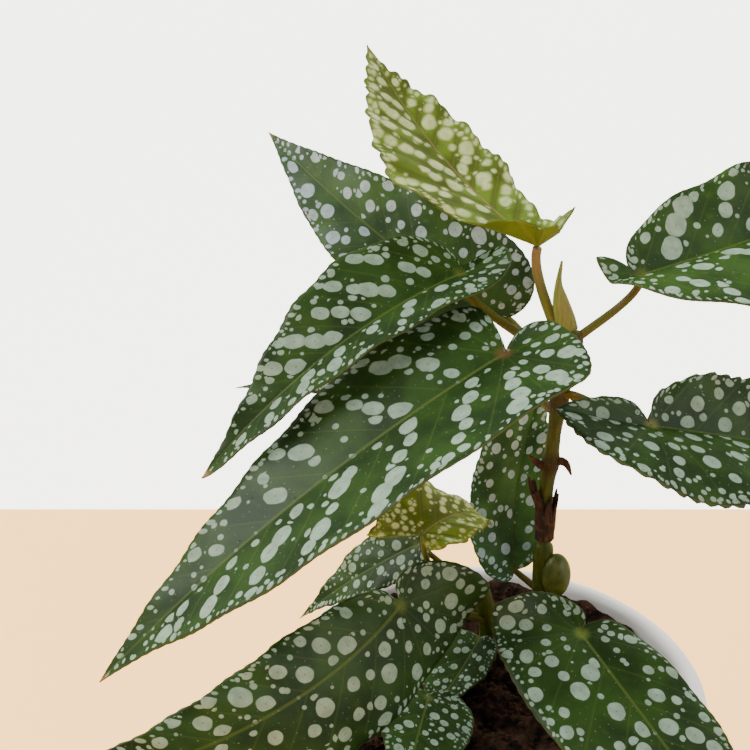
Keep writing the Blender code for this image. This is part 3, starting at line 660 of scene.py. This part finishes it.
def leafFace(values, colours):
    plan = spotPlans[values["spots"]]
    unit = (values["length"] / spotSizes["leaf"]) ** spotSizes["power"]
    seed = values["seed"]
    colours = dict(colours)
    for key, power in paintedLightPowers.items():
        # painted light: the leaf's colours are brightened for the shade it sits in, and tinted blue for a
        # painted sheen
        colours[key] = tuple(part * tint ** power for part, tint in zip(colours[key], (*values["tint"], 1)))
    recipe = Recipe(values["pieceName"] + "Face", Roughness=0.45, Specular_IOR_Level=0.2)
    soft = plan.soft * unit
    flat = recipe.uv("flat")
    rows = veinRows(recipe, values)
    x, away = rows["x"], rows["away"]
    arc, rim, _ = recipe.split(recipe.uv("edge"))

    broad = recipe.noise(flat, 0.055, 2.0)
    middle = recipe.noise(flat, 0.28, 3.0)
    fine = recipe.noise(flat, 1.6, 3.0)
    wiggle = (recipe.noise(flat, 0.30, 1.0) - 0.5) * (2 * plan.wiggle * unit)
    nearRim = (3.2 * unit - rim).most(0.0) * 0.9
    nearRib = (2.2 * unit - away).most(0.0) * 1.3

    large, pits = rowSpots(recipe, rows, plan, unit, seed)
    large = large + wiggle + nearRim + nearRib * x.rise(-2.0, 4.0)
    share = 0.12 + plan.dots * (1 - rim.rise(3.0 * unit, 13.0 * unit))
    sizes = [size * unit for size in spotSizes["medium"]]
    medium = scatteredSpots(recipe, flat, sizes, plan.between, seed + 5.0)
    medium = medium + wiggle * 0.5 + (1.2 * unit - large).most(0.0) * 1.5 + nearRim * 0.7 + nearRib
    sizes = [size * unit for size in spotSizes["smallest"]]
    small = scatteredSpots(recipe, flat, sizes, share, seed + 3.0)
    small = small + wiggle * 0.25 + (0.9 * unit - large).most(0.0) * 1.5 + (0.9 - rim).most(0.0) * 2
    # a line of small dots just inside the margin
    bead = arc / (spotSizes["bead"] * unit)
    beadCell = bead.floor()
    first, second, third = recipe.random(beadCell, seed, 0.0)
    beadAcross = (bead - beadCell - 0.5) * spotSizes["bead"] * unit
    beadOut = rim - (spotSizes["beadIn"] + spotSizes["beadSpread"] * first) * unit
    beads = (beadAcross * beadAcross + beadOut * beadOut * 0.6) ** 0.5
    beadSize = (spotSizes["beadSmall"] + spotSizes["beadGrowth"] * second) * unit
    beads = beads - beadSize * third.above(spotSizes["beadGaps"])
    silver = 1 - large.least(medium).least(small).least(beads).rise(-soft, soft)

    specks = 1 - scatteredSpots(recipe, flat, (2.6, 0.06, 0.2), 0.5, seed + 8.0).rise(-0.05, 0.08)
    lateral = (1 - rows["offVein"].rise(0.12, 0.42 * unit + 0.1)) * rim.rise(1.0, 7.0)
    netting = 1 - abs(recipe.noise(flat, 0.5, 2.0) - 0.5).rise(0.0, 0.03)
    rib = (1 - away.rise(0.2, 0.85 * unit)) * x.rise(-1.5, 1.0) * (1 - x.rise(0.0, values["length"]) * 0.5)
    veins = (lateral * 0.22).most(rib * 0.8).most(netting * 0.06)
    centre = 1 - ((x * x + away * away) ** 0.5).rise(0.6, 4.2 * unit)

    # painted shade: the colour darkens towards deep green in the hollows beside the lateral veins, where the
    # pillowed blade dips
    hollowShade = (1 - rows["offVein"].rise(0.2, 2.4 * unit)) * rim.rise(0.5, 5.0) * plan.hollows
    grain = middle.rise(0.3, 0.7) * 0.7 + fine.rise(0.3, 0.7) * 0.3
    tone = recipe.mix(grain, colours["silverDull"], colours["silver"])
    tone = recipe.mix(veins * 0.4, tone, colours["green"])
    tone = recipe.mix(pits * 0.6, tone, colours["light"])
    tip = x.rise(values["length"] - 4.5, values["length"] - 1.0)
    recipe.paint(
        recipe.mix(broad.rise(0.35, 0.66), colours["deep"], colours["green"]),
        (middle.rise(0.5, 0.85) * 0.3, colours["light"]), (hollowShade, colours["deep"]),
        (veins * 0.75, colours["vein"]), (specks * 0.35, colours["silver"]), (silver * (1 - rib * 0.7), tone),
        (centre * 0.7, values["hubTone"]), ((1 - rim.rise(0.06, 0.38)) * 0.4, colours["rim"]),
        (tip * 0.8, colours["tan"]))
    recipe.set("Roughness", 0.46 + (fine - 0.5) * 0.14 + silver * 0.05)
    height = silver * 0.15 - veins * 0.6 - pits * 0.4 + specks * 0.3 + middle * 0.4 + fine * 0.08
    recipe.bump(height, 0.0003, 0.6)
    return recipe.material


def leafBack(values, colours, ribColour):
    recipe = Recipe(values["pieceName"] + "Back", Roughness=0.5)
    flat = recipe.uv("flat")
    rows = veinRows(recipe, values)
    broad = recipe.noise(flat, 0.12, 3.0)
    fine = recipe.noise(flat, 1.4, 3.0)
    lateral = 1 - rows["offVein"].rise(0.15, 0.8)
    rib = (1 - rows["away"].rise(0.5, 1.5)) * rows["x"].rise(-2.0, 1.0)
    veins = (lateral * 0.6).most(rib)
    recipe.paint(recipe.mix(broad.rise(0.3, 0.7), *colours), (veins * 0.7, ribColour))
    recipe.bump(veins + fine * 0.3, 0.0004, 0.7)
    return recipe.material


backColours = {
    "mature": ((0.040, 0.010, 0.008, 1), (0.046, 0.022, 0.011, 1)), "matureRib": (0.085, 0.040, 0.022, 1),
    "young": ((0.080, 0.135, 0.003, 1), (0.125, 0.195, 0.008, 1)), "youngRib": (0.18, 0.19, 0.03, 1),
}

for name, values in leaves.items():
    tone = "young" if values["spots"] == "young" else "mature"
    face = leafFace(values, youngColours if tone == "young" else matureColours)
    back = leafBack(values, backColours[tone], backColours[tone + "Rib"])
    makeBlade(name, values, face, back)
print("leaf blades made:", len(leaves))


# Canes: centre line points from the buried end to the top, with the radius at each
caneLines = {
    "main": [
        ((20.6, 34, 84), 3.3), ((20.4, 34, 108), 3.3), ((20.1, 34, 128), 3.2), ((20.0, 34, 144), 3.3),
        ((20.0, 34, 147.5), 2.2), ((19.9, 34, 158), 2.1), ((19.8, 34, 169), 2.3), ((20.5, 34, 176), 2.9),
        ((20.8, 34, 182), 2.3), ((21.3, 34, 190), 2.4), ((22.0, 34, 198), 3.1), ((22.8, 34, 205), 2.6),
        ((23.9, 34, 212), 2.9), ((24.6, 34, 217), 3.5), ((24.4, 34, 220.5), 2.8),
    ],
    "side": [
        ((2, 22, 88), 2.7), ((1.6, 21.5, 108), 2.7), ((1, 20, 118), 3.1), ((0.4, 19, 124), 2.6),
        ((-0.6, 18, 132), 3.0), ((-2, 17, 139), 2.4), ((-2.6, 16.6, 141.5), 1.7),
    ],
}
caneShape = {"steps": 10, "sides": 28, "ribs": 0.07, "bumps": 0.05, "nodeHeights": (0.176, 0.198, 0.217)}
# The stalk leaves its cane and meets its blade over these shares of its reach, and thins from foot to blade
stalkShape = {"steps": 36, "sides": 16, "ribs": 0.05, "underBlade": 0.7, "intoBlade": 0.3, "leaving": 0.3,
              "arriving": 0.25, "thickness": 1.14, "thinning": 0.24, "foot": 0.12, "footLength": 0.1}
budShape = {"centre": (24.3, 31.4, 135.6), "size": (4.9, 4.4, 8.0),
            "dark": (0.060, 0.085, 0.010, 1), "light": (0.120, 0.145, 0.025, 1)}


def stalkSkin():
    recipe = Recipe("stalkSkin", Roughness=0.42, Specular_IOR_Level=0.3)
    turn, along, _ = recipe.split(recipe.uv("skin"))
    spot = recipe.place()
    height = recipe.split(spot)[2]
    streak = recipe.noise(recipe.join(turn * 9.0, along * 0.05, 0.0), 1.0, 3.0)
    patch = recipe.noise(spot, 90.0, 2.0)
    fleck = recipe.noise(spot, 900.0, 2.0)
    recipe.paint(recipe.mix(streak.rise(0.3, 0.7), (0.060, 0.078, 0.006, 1), (0.120, 0.118, 0.012, 1)),
                 ((1 - along.rise(2.0, 12.0)) * 0.35 + patch.rise(0.5, 0.75) * 0.2, (0.13, 0.050, 0.014, 1)),
                 (height.rise(0.228, 0.246) * 0.7, (0.24, 0.145, 0.065, 1)),
                 (fleck.rise(0.62, 0.72) * 0.3, (0.22, 0.19, 0.08, 1)))
    recipe.bump(streak * 0.6 + fleck * 0.25, 0.00025, 0.6)
    return recipe.material


def caneSkin():
    recipe = Recipe("caneSkin", Roughness=0.45, Specular_IOR_Level=0.3)
    turn, along, _ = recipe.split(recipe.uv("skin"))
    spot = recipe.place()
    height = recipe.split(spot)[2]
    streak = recipe.noise(recipe.join(turn * 12.0, along * 0.08, 0.0), 1.0, 3.0)
    patch = recipe.noise(spot, 110.0, 3.0)
    fleck = recipe.noise(spot, 700.0, 2.0)
    nodeRed = recipe.mix(patch.rise(0.35, 0.65), (0.060, 0.016, 0.006, 1), (0.032, 0.014, 0.005, 1))
    red = height.rise(0.190, 0.206) * 0.25
    for level in caneShape["nodeHeights"]:
        red = red.most(1 - abs(height - level).rise(0.0015, 0.006))
    recipe.paint(recipe.mix(streak.rise(0.3, 0.7), (0.034, 0.056, 0.004, 1), (0.080, 0.100, 0.010, 1)),
                 (red * 0.7, nodeRed), (patch.rise(0.55, 0.75) * 0.4, (0.050, 0.024, 0.008, 1)),
                 (fleck.rise(0.62, 0.70) * 0.3, (0.14, 0.12, 0.05, 1)))
    recipe.bump(streak * 0.5 + fleck * 0.4 + patch * 0.4, 0.0003, 0.6)
    return recipe.material


def canePoint(points, height):
    path = smoothPath(points, 8)
    index = next(i for i in range(1, len(path)) if path[i][2] >= height)
    share = (height - path[index - 1][2]) / (path[index][2] - path[index - 1][2])
    return (path[index - 1] + (path[index] - path[index - 1]) * share).to_3d()


def makeStalk(name, values, material):
    up = leafFrame(values)[2]
    hub = Vector(values["hub"])
    start = canePoint(caneLines[values["cane"]], values["root"])
    radius = values["stalkRadius"]
    dip = max(0, -min(values["fold"]))
    end = hub - up * (stalkShape["underBlade"] + radius * sin(radians(dip)))
    reach = (end - start).length
    level = Vector((end.x - start.x, end.y - start.y, 0)).normalized()
    leave = (level + Vector((0, 0, values["lift"]))).normalized()
    pulls = [start, start + leave * stalkShape["leaving"] * reach] + [Vector(stop) for stop in values["via"]]
    pulls += [end - up * stalkShape["arriving"] * reach, end + up * stalkShape["intoBlade"]]
    path = []
    for step in range(stalkShape["steps"] + 1):
        t = step / stalkShape["steps"]
        foot = stalkShape["foot"] * exp(-(t / stalkShape["footLength"]) ** 2)
        flare = stalkShape["thickness"] - stalkShape["thinning"] * t + foot
        path.append(Vector((*bezierPoint(pulls, t), radius * flare)))
    made = makeTube(path, stalkShape["sides"], up,
                    lambda angle, far: stalkShape["ribs"] * sin(5 * angle + far * 0.2))
    finishPiece(values["pieceName"] + "Stalk", made, material, ["stalk_" + name])


stalkMaterial = stalkSkin()
for name, values in leaves.items():
    makeStalk(name, values, stalkMaterial)

caneMaterial = caneSkin()
for name, points in caneLines.items():
    path = smoothPath(points, caneShape["steps"])
    made = makeTube(path, caneShape["sides"], None, lambda angle, far: (
        caneShape["ribs"] * sin(6 * angle + 0.1 * far) + caneShape["bumps"] * sin(0.9 * far)))
    finishPiece(name + "Cane", made, caneMaterial, ["cane_" + name])

bud = bmesh.new()
budTurn = Matrix.Translation(budShape["centre"]) @ Matrix.Diagonal((*budShape["size"], 1))
bmesh.ops.create_uvsphere(bud, u_segments=32, v_segments=22, radius=1, matrix=budTurn)
budRecipe = Recipe("budSkin", Roughness=0.4)
budNoise = budRecipe.noise(budRecipe.place(), 260.0, 3.0)
budRecipe.paint(budRecipe.mix(budNoise.rise(0.35, 0.7), budShape["dark"], budShape["light"]))
budRecipe.bump(budNoise, 0.0003, 0.5)
finishPiece("caneBud", bud, budRecipe.material)
print("canes and stalks made")


# Stipules: centre line, half widths, turn of the curl, the way the face looks
Scale = namedtuple("Scale", "line widths curl face dry")
scaleShapes = {
    "papery": Scale(((23.8, 33.0, 220.5), (22.3, 32.3, 225), (20.4, 32.1, 231), (19.3, 32.4, 236.5),
                     (19.8, 33, 243.3)), (4.4, 4.3, 3.1, 1.2, 0.2), 80, (0.1, -1, 0.1), False),
    "dried_upper": Scale(((25.9, 34.8, 198.3), (27.2, 34.7, 197.1), (29.3, 34.6, 197.8)),
                         (0.6, 0.5, 0.3), 0, (0, -1, 0.2), True),
    "dried_left": Scale(((18.6, 31.8, 175.4), (16.9, 32.6, 176), (15.4, 33, 177), (13.2, 32.8, 179.2)),
                        (1.5, 1.3, 0.9, 0.2), 30, (0, -1, 0.3), True),
    "dried_right": Scale(((22.4, 31.9, 177.4), (23.9, 32.3, 177.2), (25.6, 32.4, 175.9), (27.2, 32.6, 172.2)),
                         (1.4, 1.3, 1.0, 0.2), 30, (0.2, -1, 0.2), True),
}
scaleSheet = {"steps": 6, "columns": 8, "thickness": 0.5}
# The tears are waves: height, turns per column and start. The spike's values are its column, width, height
# and reach outwards.
sleeve = {
    "bottom": 148.4, "top": 162.5, "centre": (20, 34), "radius": 2.2, "gap": 0.35, "thickness": 0.7,
    "turn": 320, "columns": 16, "fineness": 5, "rows": 20, "sheet": 0.55, "flare": 0.5, "creases": 0.22,
    "ripples": 0.12,
    "tears": ((2.2, 2.3, 0.7), (1.2, 5.1, 0), (0.35, 17, 0)), "spike": (4, 1.3, 8.0, 2.6),
}


def scaleSkin(name, first, second, third, roughness):
    recipe = Recipe(name, Roughness=roughness)
    spot = recipe.place()
    x, y, z = recipe.split(spot)
    fibre = recipe.noise(recipe.join(x * 1500.0, y * 1500.0, z * 160.0), 1.0, 3.0)
    patch = recipe.noise(spot, 320.0, 3.0)
    recipe.paint(recipe.mix(fibre.rise(0.3, 0.7), first, second), (patch.rise(0.5, 0.7) * 0.6, third))
    recipe.bump(fibre + patch * 0.5, 0.0004, 0.8)
    return recipe.material


paperyMaterial = scaleSkin("paperyScale", (0.11, 0.145, 0.018, 1), (0.19, 0.20, 0.045, 1),
                           (0.20, 0.14, 0.04, 1), 0.5)
dryMaterial = scaleSkin("dryScale", (0.022, 0.009, 0.005, 1), (0.055, 0.022, 0.010, 1),
                        (0.12, 0.065, 0.032, 1), 0.85)


def makeScale(name, values):
    face = Vector(values.face).normalized()
    path = smoothPath(list(zip(values.line, values.widths)), scaleSheet["steps"])
    line = [Vector(point[:3]) for point in path]
    turn = radians(values.curl)

    def place(column, row):
        ahead, behind = line[min(row + 1, len(line) - 1)], line[max(row - 1, 0)]
        side = face.cross(ahead - behind).normalized()
        across = 2 * column / scaleSheet["columns"] - 1
        straight, sag = curlParts(turn * across)
        return line[row] + path[row][3] * across * (side * straight - face * sag)

    made = makeSheet(scaleSheet["columns"], len(line) - 1, place)
    bmesh.ops.recalc_face_normals(made, faces=made.faces)
    material = dryMaterial if values.dry else paperyMaterial
    piece = finishPiece("scale_" + name, made, material, ["stipule_" + name])
    thicken(piece, scaleSheet["thickness"])


def makeSleeve():
    rows = sleeve["rows"]
    spikeAt, spikeWidth, spikeHeight, spikeOut = sleeve["spike"]

    def place(column, row):
        position = column / sleeve["fineness"]
        share = row / rows
        angle = radians(sleeve["turn"] * (position / sleeve["columns"] - 0.5) - 90)
        torn = sum(size * sin(turns * position + start) for size, turns, start in sleeve["tears"])
        point = exp(-((position - spikeAt) / spikeWidth) ** 2)
        height = sleeve["bottom"] + (sleeve["top"] + torn + spikeHeight * point - sleeve["bottom"]) * share
        radius = sleeve["radius"] + sleeve["gap"] + sleeve["thickness"] / 2
        radius += sleeve["flare"] * share ** 2 * (1 + sin(1.9 * position)) + spikeOut * point * share ** 3
        radius += sleeve["creases"] * sin(9 * share + 2 * sin(position)) * sin(pi * share)
        radius += sleeve["ripples"] * sin(3.3 * position + 14 * share)
        x, y = sleeve["centre"]
        return Vector((x + radius * cos(angle), y + radius * sin(angle), height))

    made = makeSheet(sleeve["columns"] * sleeve["fineness"], rows, place)
    bmesh.ops.recalc_face_normals(made, faces=made.faces)
    thicken(finishPiece("drySleeve", made, dryMaterial, ["stipule_sleeve"]), sleeve["sheet"])


for name, values in scaleShapes.items():
    makeScale(name, values)
makeSleeve()
print("stipules made")


pot = {"rimRadius": 65.0, "height": 120.0, "footRadius": 46.0, "wall": 6.0, "floor": 7.0, "rimRound": 2.9,
       "footRound": 2.5, "wallLean": 8, "footSteps": 6, "rimSteps": (10, 8), "sides": 160, "sharpFrom": 40,
       "drainRadius": 4.0, "drainCircle": 24.0, "drainCount": 4, "drainSides": 32}


def arcPoints(centre, radius, first, last, steps):
    points = []
    for step in range(steps + 1):
        angle = radians(first + (last - first) * step / steps)
        points.append((centre[0] + radius * cos(angle), centre[1] + radius * sin(angle)))
    return points


def innerRadius(height):
    return pot["footRadius"] + (pot["rimRadius"] - pot["footRadius"]) * height / pot["height"] - pot["wall"]


def glaze():
    recipe = Recipe("whiteGlaze", Roughness=0.28)
    recipe.shader.inputs["Coat Roughness"].default_value = 0.15
    spot = recipe.place()
    soft = recipe.noise(spot, 28.0, 3.0)
    speck = recipe.noise(spot, 1300.0, 2.0)
    recipe.paint(recipe.mix(soft.rise(0.35, 0.7), (0.80, 0.80, 0.785, 1), (0.86, 0.86, 0.85, 1)),
                 (speck.rise(0.70, 0.78) * 0.25, (0.66, 0.63, 0.58, 1)))
    recipe.set("Roughness", 0.24 + soft * 0.12)
    recipe.bump(soft * 0.8 + speck * 0.05, 0.0003, 0.5)
    return recipe.material


def makePot():
    height, rounding, footRound, lean = pot["height"], pot["rimRound"], pot["footRound"], pot["wallLean"]
    outSteps, inSteps = pot["rimSteps"]
    profile = [(0, 0)]
    profile += arcPoints((pot["footRadius"] - footRound, footRound), footRound, -90, -lean, pot["footSteps"])
    profile += arcPoints((pot["rimRadius"] - rounding, height - rounding), rounding, -lean, 90, outSteps)
    inside = innerRadius(height) + rounding
    profile += arcPoints((inside, height - rounding), rounding, 90, 180 - lean, inSteps)
    profile += [(innerRadius(pot["floor"]), pot["floor"]), (0, pot["floor"])]
    made = bmesh.new()
    corners = [made.verts.new((radius, 0, level)) for radius, level in profile]
    edges = [made.edges.new(pair) for pair in zip(corners, corners[1:])]
    bmesh.ops.spin(made, geom=corners + edges, cent=(0, 0, 0), axis=(0, 0, 1), angle=2 * pi,
                   steps=pot["sides"], use_merge=True, use_duplicate=False)
    bmesh.ops.remove_doubles(made, verts=made.verts, dist=0.001)
    bmesh.ops.recalc_face_normals(made, faces=made.faces)
    body = finishPiece("pot", made, glaze(), ["pot"])
    drill = bmesh.new()
    for number in range(pot["drainCount"]):
        angle = 2 * pi * (number + 0.5) / pot["drainCount"]
        x, y = pot["drainCircle"] * cos(angle), pot["drainCircle"] * sin(angle)
        spot = Matrix.Translation((x, y, pot["floor"] / 2))
        bmesh.ops.create_cone(drill, cap_ends=True, segments=pot["drainSides"], radius1=pot["drainRadius"],
                              radius2=pot["drainRadius"], depth=3 * pot["floor"], matrix=spot)
    drillPiece = newObject("drill", newMesh("drill", drill, (mm, mm, mm)))
    cut = body.modifiers.new("drain holes", "BOOLEAN")
    cut.object = drillPiece
    cut.solver = "EXACT"
    bpy.context.view_layer.update()
    done = bpy.data.meshes.new_from_object(body.evaluated_get(bpy.context.evaluated_depsgraph_get()))
    body.modifiers.clear()
    body.data = done
    done.set_sharp_from_angle(angle=radians(pot["sharpFrom"]))
    bpy.data.objects.remove(drillPiece)


makePot()
print("pot made")


# The clearings keep crumbs out of the canes: x, y and radius
soil = {"level": 110.0, "lump": 1.1, "rise": 10.0, "edge": 115.0, "rings": 60, "sides": 170, "gap": 0.3,
        "crumbs": 900, "crumbReach": 56, "crumbSize": (0.5, 1.0), "crumbExtra": 1.1, "crumbLift": 0.25,
        "crumbRough": 0.13, "clearings": ((20, 34, 5.5), (1.6, 21, 5))}


# Lumps and finer roughness from waves, with a rise to the wall
def soilHeight(x, y):
    lumps = sin(0.31 * x + 1.3) * cos(0.27 * y)
    lumps += 0.6 * sin(0.55 * y + 0.23 * x) + 0.5 * cos(0.61 * x - 0.4 * y)
    rough = 0.35 * sin(1.7 * x + 0.9 * y) + 0.3 * sin(2.3 * y - 1.1 * x) + 0.22 * sin(3.9 * x) * cos(4.3 * y)
    return soil["level"] + soil["lump"] * lumps + rough + soil["rise"] * (hypot(x, y) / pot["rimRadius"]) ** 4


def earth():
    recipe = Recipe("pottingSoil", Roughness=0.95)
    recipe.shader.inputs["Specular IOR Level"].default_value = 0.2
    spot = recipe.place()
    clods = recipe.noise(spot, 190.0, 5.0, 0.65)
    grain = recipe.noise(spot, 1300.0, 4.0, 0.7)
    warm = recipe.noise(spot, 70.0, 2.0)
    recipe.paint(recipe.mix(clods.rise(0.35, 0.68), (0.0040, 0.0024, 0.0016, 1), (0.066, 0.032, 0.018, 1)),
                 (grain.rise(0.62, 0.74) * 0.45, (0.075, 0.042, 0.024, 1)),
                 (warm.rise(0.5, 0.8) * 0.4, (0.036, 0.015, 0.007, 1)))
    recipe.bump(clods + grain * 0.5, 0.0016, 1.0)
    return recipe.material


def makeSoil():
    bottom = pot["floor"] + soil["gap"]
    rings, sides = soil["rings"], soil["sides"]

    def place(column, row):
        angle = 2 * pi * column / sides
        if row == 0:
            return Vector((0, 0, bottom))
        if row == 1:
            radius = innerRadius(bottom) - soil["gap"]
            return Vector((radius * cos(angle), radius * sin(angle), bottom))
        radius = (innerRadius(soil["edge"]) - 0.3 * soil["gap"]) * (rings + 2 - row) / rings
        x, y = radius * cos(angle), radius * sin(angle)
        return Vector((x, y, soilHeight(x, y)))

    made = makeSheet(sides, rings + 2, place)
    bmesh.ops.remove_doubles(made, verts=made.verts, dist=0.001)
    bmesh.ops.recalc_face_normals(made, faces=made.faces)
    soilMaterial = earth()
    finishPiece("soilBed", made, soilMaterial, ["soil"])
    dice = random.Random(5)
    crumbs = bmesh.new()
    for _ in range(soil["crumbs"]):
        far = soil["crumbReach"] * dice.random() ** 0.5
        angle = dice.uniform(0, 2 * pi)
        x, y = far * cos(angle), far * sin(angle)
        if any(hypot(x - caneX, y - caneY) < clear for caneX, caneY, clear in soil["clearings"]):
            continue
        size = dice.uniform(*soil["crumbSize"]) + soil["crumbExtra"] * dice.random() ** 3
        stretch = Matrix.Diagonal((size, size * dice.uniform(0.6, 1.1), size * dice.uniform(0.5, 0.9), 1))
        turn = Matrix.Rotation(dice.uniform(0, 6), 4, "Z") @ Matrix.Rotation(dice.uniform(-0.6, 0.6), 4, "X")
        spot = Matrix.Translation((x, y, soilHeight(x, y) + soil["crumbLift"] * size))
        bmesh.ops.create_icosphere(crumbs, subdivisions=1, radius=1, matrix=spot @ turn @ stretch)
    for corner in crumbs.verts:
        corner.co += Vector([dice.uniform(-1, 1) for _ in range(3)]) * soil["crumbRough"]
    finishPiece("soilCrumbs", crumbs, soilMaterial)


makeSoil()
print("soil made")


# The table ends at tableBack. Each light has its place, target, size, power and colour.
studio = {
    "cameraPlace": (-0.0364, -0.27235, 0.32085), "cameraTilt": 69.5, "lens": 50, "sensor": 36, "nearest": 0.01,
    "tableSize": (8.0, 8.0, 1.0), "tableBack": 0.335, "tableColour": (0.92, 0.53, 0.18, 1), "tableGlow": 1.7,
    "wallSize": (14.0, 10.0, 1.0), "wallBack": 3.0, "wallColour": (0.86, 0.86, 0.82, 1), "wallGlow": 5.2,
    "keyLight": ((-0.95, -0.15, 1.05), (0, 0, 0.16), 0.9, 21, (1.0, 0.99, 0.97)),
    "fillLight": ((0.9, -0.6, 0.8), (0, 0, 0.15), 1.1, 8, (1.0, 0.985, 0.96)),
    "worldColour": (0.95, 0.97, 1.0, 1), "worldStrength": 0.44,
}


def stagePlane(name, size, place, turn, colour, glow):
    recipe = Recipe(name, Roughness=0.75, Emission_Color=colour, Emission_Strength=glow)
    soft = recipe.noise(recipe.place(), 3.0, 2.0)
    darker = tuple(0.95 * part for part in colour[:3]) + (1,)
    recipe.paint(recipe.mix(soft.rise(0.3, 0.7), darker, colour))
    made = bmesh.new()
    bmesh.ops.create_grid(made, x_segments=1, y_segments=1, size=0.5)
    mesh = newMesh(name, made, size)
    mesh.transform(Matrix.Translation(place) @ Matrix.Rotation(radians(turn), 4, "X"))
    mesh.materials.append(recipe.material)
    plane = newObject(name, mesh)
    plane.visible_glossy = False


def areaLight(name, place, target, size, power, colour):
    light = bpy.data.lights.new(name, "AREA")
    light.shape = "DISK"
    light.size = size
    light.energy = power
    light.color = colour
    lamp = newObject(name, light)
    lamp.location = place
    lamp.rotation_euler = (Vector(target) - Vector(place)).to_track_quat("-Z", "Y").to_euler()


stagePlane("tableTop", studio["tableSize"], (0, studio["tableBack"] - studio["tableSize"][1] / 2, 0.0), 0,
           studio["tableColour"], studio["tableGlow"])
stagePlane("wall", studio["wallSize"], (0, studio["wallBack"], 1.0), 90,
           studio["wallColour"], studio["wallGlow"])
for name in ("keyLight", "fillLight"):
    areaLight(name, *studio[name])

world = bpy.data.worlds.new("softRoom")
bpy.context.scene.world = world
world.use_nodes = True
background = world.node_tree.nodes["Background"].inputs
background["Color"].default_value = studio["worldColour"]
background["Strength"].default_value = studio["worldStrength"]

cameraData = bpy.data.cameras.new("camera")
cameraData.lens = studio["lens"]
cameraData.sensor_width = studio["sensor"]
cameraData.clip_start = studio["nearest"]
camera = newObject("camera", cameraData)
camera.location = studio["cameraPlace"]
camera.rotation_euler = (radians(studio["cameraTilt"]), 0, 0)
bpy.context.scene.camera = camera
print("camera and light set")
